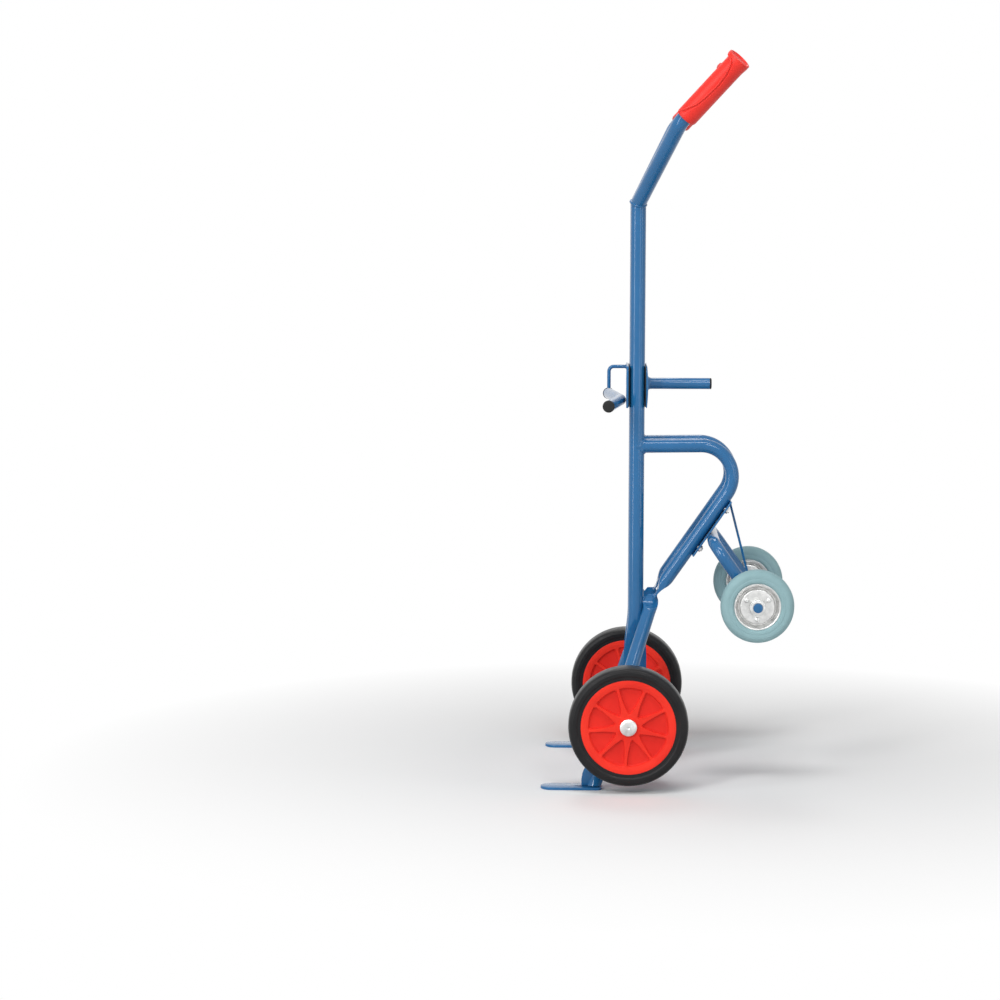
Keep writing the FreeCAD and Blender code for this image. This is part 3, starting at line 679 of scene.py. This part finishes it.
def rearTube():
    side = crossWay * (-mast["half"] * mm)
    pressed = rear["taper"] + rear["flatLong"] + rear["clear"]
    pressStart = onDiagonal(pressed, -mast["half"], 0)
    root = runStart + side + (rearCorner - runStart).normalized() * (rear["sunk"] * mm)
    tube = runTube("left_rear_tube_look", [root, rearCorner + side, pressStart], rear["radius"] * mm,
                   rear["bendRadius"] * mm, sides=52)
    pressEnd(tube, pressStart, -diagonal, crossWay, offDiagonal, rear)
    capEnds()
    outwards()
    leaveEdit()
    smooth(tube)
    return tube


def rootBend(co):  # lays the bead over the mast's round
    offset = co.y + mast["half"] * mm
    reach = math.sqrt(max((mast["radius"] * mm) ** 2 - offset ** 2, 0))
    return Vector((co.x - mast["radius"] * mm + reach, co.y, co.z))


settlePair(rearTube(), "rear_tube", "frame", "blue_paint")
rootPlace = runStart + Vector(((mast["radius"] + rear["weldOut"]) * mm, -mast["half"] * mm, 0))
rootWeld = weldBead("left_rear_weld", rootPlace, backWay, rear["radius"] * mm, bead=2.6, bend=rootBend)
settleWelds(rootWeld)
print("rear tubes done")

leg = {"radius": 15, "axleRadius": 10, "gap": 0.2, "footHalf": 235, "toe": 6, "twistOver": 28,
       "weldSpan": (-1.5, 2),
       "tab": [(-10.4, -14.4, -31.3, 15, 15, 0), (-8.6, -11.6, -25, 15.5, 14.0, 0.05),
               (-7.4, -9, -19.5, 16.3, 11.8, 0.15), (-6.6, -6.8, -14.5, 17.0, 9.0, 0.3),
               (-6.0, -4.8, -10, 17.2, 6.4, 0.4), (-5.2, -3, -5.5, 16.4, 4.6, 0.5),
               (-4.4, -1.6, -1, 14.4, 3.7, 0.5), (-3.4, -0.8, 3.5, 11.8, 3.3, 0.5),
               (-2.6, -0.4, 7.2, 9.6, 3.1, 0.5), (-2.4, -0.3, 8.4, 8.6, 2.2, 0.5)]}
axleRise = rear["knuckle"][1] - axleHeight
axleReach = math.hypot(rear["knuckle"][0], axleRise)
legAngle = math.atan2(rear["knuckle"][0], axleRise)
legAngle += math.asin((leg["radius"] + leg["axleRadius"] + leg["gap"]) / axleReach)
legSlope = math.tan(legAngle)
footX = rear["knuckle"][0] - (rear["knuckle"][1] - leg["toe"]) * legSlope
footSpan = math.hypot(mast["back"] - footX, leg["footHalf"] - mast["half"])
planAngle = math.atan2(leg["footHalf"] - mast["half"], mast["back"] - footX)
planAngle -= math.asin((leg["radius"] + mast["radius"] + leg["gap"]) / footSpan)
legTopHalf = leg["footHalf"] - (rear["knuckle"][0] - footX) * math.tan(planAngle)
foot = at(footX, -leg["footHalf"], leg["toe"])
legTop = at(rear["knuckle"][0], -legTopHalf, rear["knuckle"][1])
legWay = (legTop - foot).normalized()


def tabRings(steps=4):
    # the tab's sections with even steps between them, run smoothly through
    rings = leg["tab"]
    ends = [rings[0]] + rings + [rings[-1]]
    for a, b, c, d in zip(ends, ends[1:], ends[2:], ends[3:]):
        for count in range(1, steps + 1):
            t = count / steps
            yield [0.5 * (2 * q + (r - p) * t + (2 * p - 5 * q + 4 * r - s) * t * t
                          + (3 * q - p - 3 * r + s) * t ** 3) for p, q, r, s in zip(a, b, c, d)]


def legTube():
    # the top is pressed to a tab beside the mast's back, its rings given from the leg's top
    thinStart = (-crossWay - legWay * (-crossWay).dot(legWay)).normalized()
    wideStart = thinStart.cross(legWay)
    place = legTop + Vector(leg["tab"][0][:3]) * mm
    tube = runTube("left_leg_look", [foot - legWay * overrun, place], leg["radius"] * mm, sides=52)
    for x, y, z, wideHalf, thinHalf, share in tabRings():
        turned = min((z - leg["tab"][0][2]) / leg["twistOver"], 1)
        wide = wideStart.lerp(-backWay, turned).normalized()
        thin = thinStart.lerp(-crossWay, turned).normalized()
        target = legTop + Vector((x, y, z)) * mm
        pullRing(target - place)
        pressRing(tube, target, wide, thin, wideHalf * mm, thinHalf * mm, share)
        place = target
    bpy.ops.mesh.edge_face_add()
    cutTube(tube, foot, upWay, "inner", 50)
    return tube


toe = {"wide": 50, "thick": 6, "reach": 117, "heel": 16, "heelRound": 10, "tipRound": 24.95,
       "edge": 1.0}


def toePlate():
    front = footX - toe["reach"]
    back = footX + toe["heel"]
    clearSelection()
    middle = at((front + back) / 2, -leg["footHalf"], toe["thick"] / 2)
    bpy.ops.mesh.primitive_cube_add(size=1, location=middle,
                                    scale=((back - front) * mm, toe["wide"] * mm, toe["thick"] * mm))
    plate = newest("left_toe_plate_look")
    editAll(plate)
    for end, rounding, segments in ((front, toe["tipRound"], 18), (back, toe["heelRound"], 8)):
        endX = at(end, 0, 0).x
        pickEdges(plate, lambda a, b: abs(a.x - endX) < samePlace and abs(b.x - endX) < samePlace
                  and abs(a.z - b.z) > toe["thick"] * mm / 2)
        bpy.ops.mesh.bevel(offset=rounding * mm, affect="EDGES", segments=segments)
    leaveEdit()
    roundEdges(plate, toe["edge"])
    return plate


gusset = {"thick": 6, "high": 46, "reach": 28, "round": 12, "edge": 0.9}


def toeGusset():
    front = footX - gusset["reach"]
    low, high = toe["thick"], toe["thick"] + gusset["high"]
    side = -leg["footHalf"] - gusset["thick"] / 2
    outline = [(front, low), (footX, low), (footX + gusset["high"] * legSlope, high),
               (front + gusset["reach"] / 3, high), (front, low + gusset["high"] / 2)]
    rib = loopOf("left_toe_gusset_look", [at(x, side, z) for x, z in outline])
    editAll(rib)
    corner = at(footX - gusset["reach"] / 2, side, low + gusset["high"] / 4)
    pickVerts(rib, lambda co: co.x < corner.x and co.z > corner.z)  # the two points at the upper front
    bpy.ops.mesh.bevel(offset=gusset["round"] * mm, affect="VERTICES", segments=6)
    bpy.ops.mesh.select_all(action="SELECT")
    bpy.ops.mesh.extrude_region_move(TRANSFORM_OT_translate={"value": (0, gusset["thick"] * mm, 0)})
    outwards()
    leaveEdit()
    roundEdges(rib, gusset["edge"])
    return rib


def footBend(co):  # drops the bead onto the toe plate, where the leaning leg meets it
    lift = (co - foot).dot(upWay)
    low, high = leg["weldSpan"]
    return co - legWay * (lift / legWay.z) + upWay * min(max(lift, low * mm), high * mm)


settlePair(legTube(), "leg", "frame", "blue_paint")
settlePair(toePlate(), "toe_plate", "frame", "blue_paint")
settlePair(toeGusset(), "toe_gusset", "frame", "blue_paint")
for name, start, end, bead in (("tab_weld", (-22.4, -6, -22), (-20.5, -1, 4), 3.2),
                               ("knuckle_weld", (2, -15, 4), (2, 15, 4), 3.2)):
    settleWelds(weldSeam("left_" + name, legTop + Vector(start) * mm, legTop + Vector(end) * mm, bead))
settleWelds(weldBead("left_foot_weld", foot, legWay, leg["radius"] * mm, bead=2.2, bend=footBend))
print("legs and toes done")

pocket = {"count": 9, "turn": 4, "corner": 5.0, "noseHalf": 0.07, "noseIn": 0.985,
          "ribs": [(0.9, 5.4), (0.78, 6.0), (0.66, 7.2), (0.54, 9.4), (0.44, 12.4)],
          "levels": [(18.0, 82.6, 3.8, 33.6), (18.2, 83.7, 2.6, 32.4), (18.9, 84.6, 1.8, 31.5),
                     (20.4, 85.3, 1.3, 30.9), (22.6, 86.0, 0.7, 30.1), (23.5, 86.5, 0.1, 29.5),
                     (23.9, 86.9, -0.7, 28.8), (24.3, 87.4, -1.7, 28.0), (28.5, 88.4, -1.7, 27.4)]}


def pocketOutline(height, outer, ribMore, inner):
    # one recess between two ribs at one height: outer arc, rib side, nose at the hub, other rib side
    halfTurn = math.pi / pocket["count"]
    first = math.radians(90 + pocket["turn"]) + halfTurn

    def spot(radius, angle):
        way = Vector((math.cos(first + angle), 0, -math.sin(first + angle)))
        return mainAxle + way * (radius * mm) - crossWay * (height * mm)

    def ribSide(radius, wide):
        return halfTurn - math.asin((wide + ribMore) / 2 / radius)

    edge = ribSide(outer, pocket["ribs"][0][1])
    arc = [spot(outer, edge * step) for step in (-0.6, -0.4, -0.2, 0, 0.2, 0.4, 0.6)]
    corner = []
    for turn in (0, 18, 36, 54, 72, 90):
        inFrom = pocket["corner"] * (1 - math.sin(math.radians(turn))) / outer
        below = pocket["corner"] * (1 - math.cos(math.radians(turn)))
        corner.append((outer - below, edge - inFrom))
    rounded = corner + [(outer * share, ribSide(outer * share, wide)) for share, wide in pocket["ribs"]]
    down = [spot(radius, angle) for radius, angle in rounded]
    noseHalf = pocket["noseHalf"]
    nose = [spot(inner, noseHalf), spot(inner * pocket["noseIn"], 0), spot(inner, -noseHalf)]
    back = [spot(radius, -angle) for radius, angle in reversed(rounded)]
    return arc + down + nose + back


def reshapeRing(obj, before, after):
    # moves each selected point of one outline to its place in the next
    mesh = bmesh.from_edit_mesh(obj.data)
    for vert in mesh.verts:
        if vert.select:
            nearest = min(range(len(before)), key=lambda count: (vert.co - before[count]).length)
            vert.co = after[nearest]
    bmesh.update_edit_mesh(obj.data)


def pocketCutter():
    # one recess raised level by level from its floor, then copied round the axle and to the other face
    outlines = [pocketOutline(*level) for level in pocket["levels"]]
    cutter = loopOf("rimPockets", outlines[0])
    editAll(cutter)
    for before, after in zip(outlines, outlines[1:]):
        bpy.ops.mesh.extrude_region_move(TRANSFORM_OT_translate={"value": (0, 0, 0)})
        reshapeRing(cutter, before, after)
    outwards()
    bpy.ops.mesh.spin(steps=pocket["count"] - 1, dupli=True, angle=2 * math.pi * (1 - 1 / pocket["count"]),
                      center=mainAxle, axis=crossWay)
    leaveEdit()
    useModifier(cutter, "MIRROR", use_axis=(False, True, False), use_mirror_merge=False)
    editAll(cutter)
    bpy.ops.mesh.normals_make_consistent(inside=False)
    leaveEdit()
    return cutter


wheel = {"tyre": [(103.05, -27, 0.5), (110.0, -27.2, 0.8), (112.5, -30, 1.5), (120.6, -30, 0.8),
                  (121.6, -29.2, 0.6), (124.0, -29.0, 2), (127.6, -25.4, 3), (129.4, -19.0, 3),
                  (130.0, -12, 4)],
         "rim": [(14.1, -27, 0.4), (20.5, -27, 1.2), (20.5, -24, 1.0), (84.0, -24, 4), (95.0, -27, 3),
                 (103.0, -27, 1.2)]}


def mainWheel():
    tyre = lathe("mainTyre", bothFlanks(wheel["tyre"]), mainAxle, crossWay, steps=128)
    smooth(tyre, 30)
    rim = lathe("mainRim", bothFlanks(wheel["rim"]), mainAxle, crossWay, steps=128)
    cutAway(rim, pocketCutter())
    smooth(rim, 35)
    for side, sign in (("left", -1), ("right", 1)):
        move = (0, sign * wheelTrack * mm, 0)
        for piece, name, slot in ((tyre, "tyre", "tyre_black"), (rim, "rim", "rim_red")):
            node = side + "_main_" + name
            settle(movedCopy(piece, node + "_look", move), side + "_wheel", slot, node)
    bpy.data.objects.remove(tyre)
    bpy.data.objects.remove(rim)


hubCap = {"place": 302.5,
          "section": [(0, 0.4, 0), (17.8, 0, 0.4), (18.5, 0.5, 0.3), (18.3, 1.4, 0.4), (16.4, 2.7, 1.5),
                      (10.5, 4.5, 6), (3.2, 5.0, 1.2), (2.2, 4.2, 0.8), (0, 4.1, 0)]}


def hubCaps():
    cap = lathe("leftHubCap", hubCap["section"], at(0, -hubCap["place"], axleHeight), -crossWay, steps=72)
    smooth(cap, 40)
    both = joinAll("hub_caps_look", [cap, acrossCopy(cap, "rightHubCap")])
    settle(both, "frame", "zinc", "hub_caps")


mainWheel()
hubCaps()
print("main wheels done")

support = {"track": 205, "rivets": 3, "rivetCircle": 28,
           "tyre": [(44.05, -6.4, 0), (48.0, -12.9, 0), (51.05, -12.9, 0.4), (51.05, -15.1, 0.3),
                    (54.0, -19.2, 1.2), (60.0, -20, 1.5), (61.0, -19.3, 0.5), (66.0, -20, 2),
                    (70.5, -19.4, 2), (77.0, -15.0, 3.5), (80.0, -8, 5)],
           "rim": [(17.55, 9, 0.4), (37, 9, 1.8), (39.4, 2.05, 1.4), (41.4, 2.05, 1.4), (42.4, 6.2, 2),
                   (47.8, 15, 1.6), (51, 15, 0.8), (51, 13, 0.5), (48.0, 13, 0.6), (44, 6.4, 1),
                   (44, 0.05, 0.4), (38.0, 0.05, 1), (35.5, 7, 1), (17.55, 7, 0.3)],
           "hub": [(13.1, -29, 0.6), (17.5, -29, 1.4), (17.5, 29, 1.4), (13.1, 29, 0.6)],
           "rivet": [(0, 9.05, 0), (5.5, 9.05, 0.3), (4.7, 10.8, 1.2), (2.4, 12, 1.2), (0, 12.05, 0)]}


def supportWheel():
    tyre = lathe("supportTyre", bothFlanks(support["tyre"]), supportAxle, crossWay, steps=112)
    hub = lathe("supportHub", support["hub"], supportAxle, crossWay, steps=64)
    outer = lathe("supportRimOuter", support["rim"], supportAxle, -crossWay, steps=96)
    inner = lathe("supportRimInner", support["rim"], supportAxle, crossWay, steps=96)
    heads = []
    for count in range(support["rivets"]):
        angle = math.radians(270 + 360 / support["rivets"] * count)
        spot = supportAxle + Vector((math.cos(angle), 0, math.sin(angle))) * (support["rivetCircle"] * mm)
        for face in (-crossWay, crossWay):
            heads.append(lathe("rivet", support["rivet"], spot, face, steps=32))
    rivets = joinAll("supportRivets", heads)
    for piece in (tyre, hub, outer, inner, rivets):
        smooth(piece, 32)
    for side, sign in (("left", -1), ("right", 1)):
        body = side + "_support_wheel"
        move = (0, sign * support["track"] * mm, 0)
        faces = (outer, inner) if sign < 0 else (inner, outer)
        for piece, name, slot in ((tyre, "tyre", "tyre_grey"), (hub, "hub", "zinc"),
                                  (rivets, "rivets", "zinc"), (faces[0], "rim_outer", "zinc"),
                                  (faces[1], "rim_inner", "zinc")):
            node = side + "_support_" + name
            settle(movedCopy(piece, node + "_look", move), body, slot, node)
    for piece in (tyre, hub, outer, inner, rivets):
        bpy.data.objects.remove(piece)


supportWheel()
print("support wheels done")

fork = {"radius": 13.45, "wall": 2, "bendRadius": 40, "place": 184, "plateUnder": 19.2, "gap": 0.2,
        "armHalf": 160.05}


def supportFork():
    arm = crossWay * (fork["armHalf"] * mm)
    crossing = onDiagonal(fork["place"], 0, fork["plateUnder"] + fork["gap"] + fork["radius"])
    route = [supportAxle - arm, crossing - arm, crossing + arm, supportAxle + arm]
    tube = runTube("support_fork_look", route, fork["radius"] * mm, fork["bendRadius"] * mm)
    hollowTube(tube, fork["wall"])
    settle(tube, "frame", "blue_paint", "support_fork")


supportFork()
print("support bracket done")

carriage = {"frontPlate": -7.65, "top": 912, "middle": 866, "backCrown": 40.65}
hook = {"radius": 4, "edge": 4.5, "reach": 38.5, "drop": 47, "bendRadius": 11, "weldOut": 0.4,
        "tip": [(1.0, 0.86), (0.7, 0.62), (0.3, 0.3)]}


def drumHook():
    root = at(carriage["frontPlate"], 0, carriage["top"] - hook["edge"])
    elbow = root - backWay * (hook["reach"] * mm)
    tip = elbow - upWay * (hook["drop"] * mm)
    piece = runTube("drum_hook_look", [root, elbow, tip], hook["radius"] * mm, hook["bendRadius"] * mm,
                    sides=28)
    for move, size in hook["tip"]:  # rounded off in steps
        pullRing(upWay * (-move * mm))
        bpy.ops.transform.resize(value=(size, size, 1), center_override=tip)
    bpy.ops.mesh.edge_face_add()
    capEnds()
    outwards()
    leaveEdit()
    smooth(piece, 50)
    settle(piece, "hook_carriage", "blue_paint", "drum_hook")
    weldPlace = root - backWay * (hook["weldOut"] * mm)
    weld = weldBead("hook_weld", weldPlace, backWay, hook["radius"] * mm, bead=1.5)
    settle(weld, "hook_carriage", "blue_paint")


rest = {"radius": 12.5, "wall": 2, "gap": 0.2, "down": 33, "half": 206, "forward": 27, "bendRadius": 120,
        "cap": [(0, -14, 0), (10.4, -14, 0.6), (10.4, 0.1, 0), (13.25, 0.1, 0.5), (13.25, 3, 1.2), (11, 4, 1),
                (0, 4.2, 0)]}


def restBar():
    turn = math.atan2(rest["forward"], rest["half"])
    sag = rest["bendRadius"] * (1 / math.cos(turn) - 1)
    front = carriage["frontPlate"] - rest["gap"] - rest["radius"] + sag
    middle = at(front, 0, carriage["middle"] - rest["down"])
    leftEnd = middle + Vector((-rest["forward"] * mm, -rest["half"] * mm, 0))
    rightEnd = middle + Vector((-rest["forward"] * mm, rest["half"] * mm, 0))
    bar = runTube("rest_bar_look", [leftEnd, middle, rightEnd], rest["radius"] * mm, rest["bendRadius"] * mm)
    hollowTube(bar, rest["wall"])
    settle(bar, "hook_carriage", "blue_paint", "rest_bar")
    cap = lathe("leftRestCap", rest["cap"], leftEnd, (leftEnd - middle).normalized(), steps=56)
    smooth(cap, 40)
    caps = joinAll("rest_bar_caps_look", [cap, acrossCopy(cap, "rightRestCap")])
    settle(caps, "hook_carriage", "black_plastic", "rest_bar_caps")


pull = {"long": 138, "up": 4,
        "tube": [(10.5, 0, 0), (17, 0, 0.4), (14.5, 2.0, 1.5), (12.5, 5.5, 1.6), (12.5, 138, 0.7),
                 (10.5, 138, 0.4)],
        "plug": [(0, -14, 0), (10.4, -14, 0.5), (10.4, 0.1, 0), (12.4, 0.1, 0.3), (12.4, 2.6, 1.2),
                 (10.4, 4, 1), (0, 4.1, 0)]}


def pullHandle():
    root = at(carriage["backCrown"], 0, carriage["middle"] + pull["up"])
    tube = lathe("pull_handle_look", pull["tube"], root, backWay, steps=56)
    smooth(tube, 35)
    settle(tube, "hook_carriage", "blue_paint", "pull_handle")
    end = root + backWay * (pull["long"] * mm)
    plug = lathe("pull_handle_plug_look", pull["plug"], end, backWay, steps=56)
    smooth(plug, 40)
    settle(plug, "hook_carriage", "black_plastic", "pull_handle_plug")


drumHook()
restBar()
pullHandle()
print("hook carriage done")


def dressNode(name, slot, edge):  # a piece that keeps its solid
    node = nodes[name]
    node.data.materials.clear()
    node.data.materials.append(finishes[slot])
    node.data.shade_smooth()
    weld = node.modifiers.new("Weld", "WELD")
    weld.merge_threshold = 0.00002
    rounding = node.modifiers.new("Rounding", "BEVEL")
    rounding.width = edge * mm
    rounding.segments = 2
    rounding.limit_method = "ANGLE"
    rounding.angle_limit = math.radians(38)
    rounding.harden_normals = True


slotOf = {part["node"]: part["material_slot"] for part in frame["record"]["subparts"]}
edgeOf = {"bracket_plate": 1.0, "support_brace": 1.0, "carriage_front_plate": 1.0, "carriage_back_plate": 0.8,
          "front_slide_pad": 0.4, "rear_slide_pad": 0.4, "guide_block": 0.8, "main_axle": 1.0,
          "support_axle": 1.2}
plainEdge = 0.5  # for the small pieces
shown = [name for name, node in nodes.items() if not node.hide_render]
for name in shown:
    dressNode(name, slotOf[name], edgeOf.get(name, plainEdge))
print("solids dressed:", len(shown))

studio = {"radius": 9, "floor": 0.92, "fadeFrom": 0.42, "fadeTo": 1.45, "glow": 0.5, "world": 0.2}


def whiteToCamera(tree, light):
    # plain white where the camera, a gloss or a clear material looks, light elsewhere
    path = tree.nodes.new("ShaderNodeLightPath")
    seen = path.outputs["Is Camera Ray"]
    for ray in ("Is Glossy Ray", "Is Transmission Ray"):
        seen = mathOf(tree, "MAXIMUM", seen, path.outputs[ray])
    return valueBetween(tree, seen, light, 1.0, 0.0, 1.0)


def studioFloor():
    clearSelection()
    bpy.ops.mesh.primitive_circle_add(vertices=96, radius=studio["radius"], fill_type="NGON")
    floor = newest("floor")
    material = bpy.data.materials.new("paleFloor")
    material.use_nodes = True
    tree = material.node_tree
    shader = tree.nodes["Principled BSDF"]
    shader.inputs["Base Color"].default_value = (studio["floor"], studio["floor"], studio["floor"], 1)
    shader.inputs["Roughness"].default_value = 0.9
    shader.inputs["Specular IOR Level"].default_value = 0.1
    place = tree.nodes.new("ShaderNodeTexCoord").outputs["Object"]
    reach = tree.nodes.new("ShaderNodeVectorMath")
    reach.operation = "LENGTH"
    tree.links.new(place, reach.inputs[0])
    fade = valueBetween(tree, reach.outputs["Value"], 0.0, 1.0, studio["fadeFrom"], studio["fadeTo"])
    glow = tree.nodes.new("ShaderNodeEmission")
    tree.links.new(whiteToCamera(tree, studio["glow"]), glow.inputs["Strength"])
    mix = tree.nodes.new("ShaderNodeMixShader")
    tree.links.new(fade, mix.inputs["Fac"])
    tree.links.new(shader.outputs["BSDF"], mix.inputs[1])
    tree.links.new(glow.outputs["Emission"], mix.inputs[2])
    tree.links.new(mix.outputs["Shader"], tree.nodes["Material Output"].inputs["Surface"])
    floor.data.materials.append(material)


def studioWorld():
    world = bpy.data.worlds.new("studio")
    bpy.context.scene.world = world
    world.use_nodes = True
    tree = world.node_tree
    background = tree.nodes["Background"]
    background.inputs["Color"].default_value = (1, 1, 1, 1)
    tree.links.new(whiteToCamera(tree, studio["world"]), background.inputs["Strength"])


lamps = {
    "keyLight": {"place": (-2.2, -3.75, 2.8), "target": (0, 0, 0.7), "wide": 0.9, "high": 2.2, "watts": 81},
    "frontLight": {"place": (1.2, -4.0, 3.2), "target": (0, 0, 0.6), "wide": 1.1, "high": 1.0, "watts": 30},
    "lowLight": {"place": (2.4, -4.0, 0.8), "target": (0, 0, 0.6), "wide": 1.2, "high": 1.2, "watts": 8},
    "topLight": {"place": (0.1, -1.6, 3.6), "target": (0, 0, 0.6), "wide": 1.9, "high": 0.6, "watts": 36},
    "leftStrip": {"place": (-2.7, -1.9, 1.2), "target": (0, 0, 1.0), "wide": 0.5, "high": 2.4, "watts": 23},
    "rightStrip": {"place": (2.9, -1.5, 1.2), "target": (0, 0, 1.0), "wide": 0.35, "high": 2.4, "watts": 8},
    "backLight": {"place": (-0.4, 2.4, 4.0), "target": (0, 0, 0.8), "wide": 1.6, "high": 1.2, "watts": 30},
}


def softbox(name, place, target, wide, high, watts):
    lamp = bpy.data.lights.new(name, "AREA")
    lamp.shape = "RECTANGLE"
    lamp.size = wide
    lamp.size_y = high
    lamp.energy = watts
    obj = bpy.data.objects.new(name, lamp)
    bpy.context.scene.collection.objects.link(obj)
    obj.location = place
    obj.rotation_euler = (Vector(target) - Vector(place)).to_track_quat("-Z", "Y").to_euler()


def photoCamera():
    view = {"place": (-0.13741, -6.2, 1.28004), "yaw": 2.18, "pitch": 6.2, "roll": -0.11, "lens": 100}
    yaw, pitch, roll = (math.radians(view[key]) for key in ("yaw", "pitch", "roll"))
    ahead = Vector((-math.sin(yaw) * math.cos(pitch), math.cos(yaw) * math.cos(pitch), -math.sin(pitch)))
    right = Vector((math.cos(yaw), math.sin(yaw), 0))
    over = right.cross(ahead)
    rolledRight = right * math.cos(roll) - over * math.sin(roll)
    rolledOver = over * math.cos(roll) + right * math.sin(roll)
    lens = bpy.data.cameras.new("photoCamera")
    lens.lens = view["lens"]
    lens.sensor_width = 36
    camera = bpy.data.objects.new("photoCamera", lens)
    bpy.context.scene.collection.objects.link(camera)
    camera.matrix_world = placing(rolledRight, rolledOver, -ahead, Vector(view["place"]))
    bpy.context.scene.camera = camera


studioFloor()
studioWorld()
for name, lamp in lamps.items():
    softbox(name, **lamp)
photoCamera()
bpy.context.scene.view_settings.view_transform = "Standard"
print("stage set")
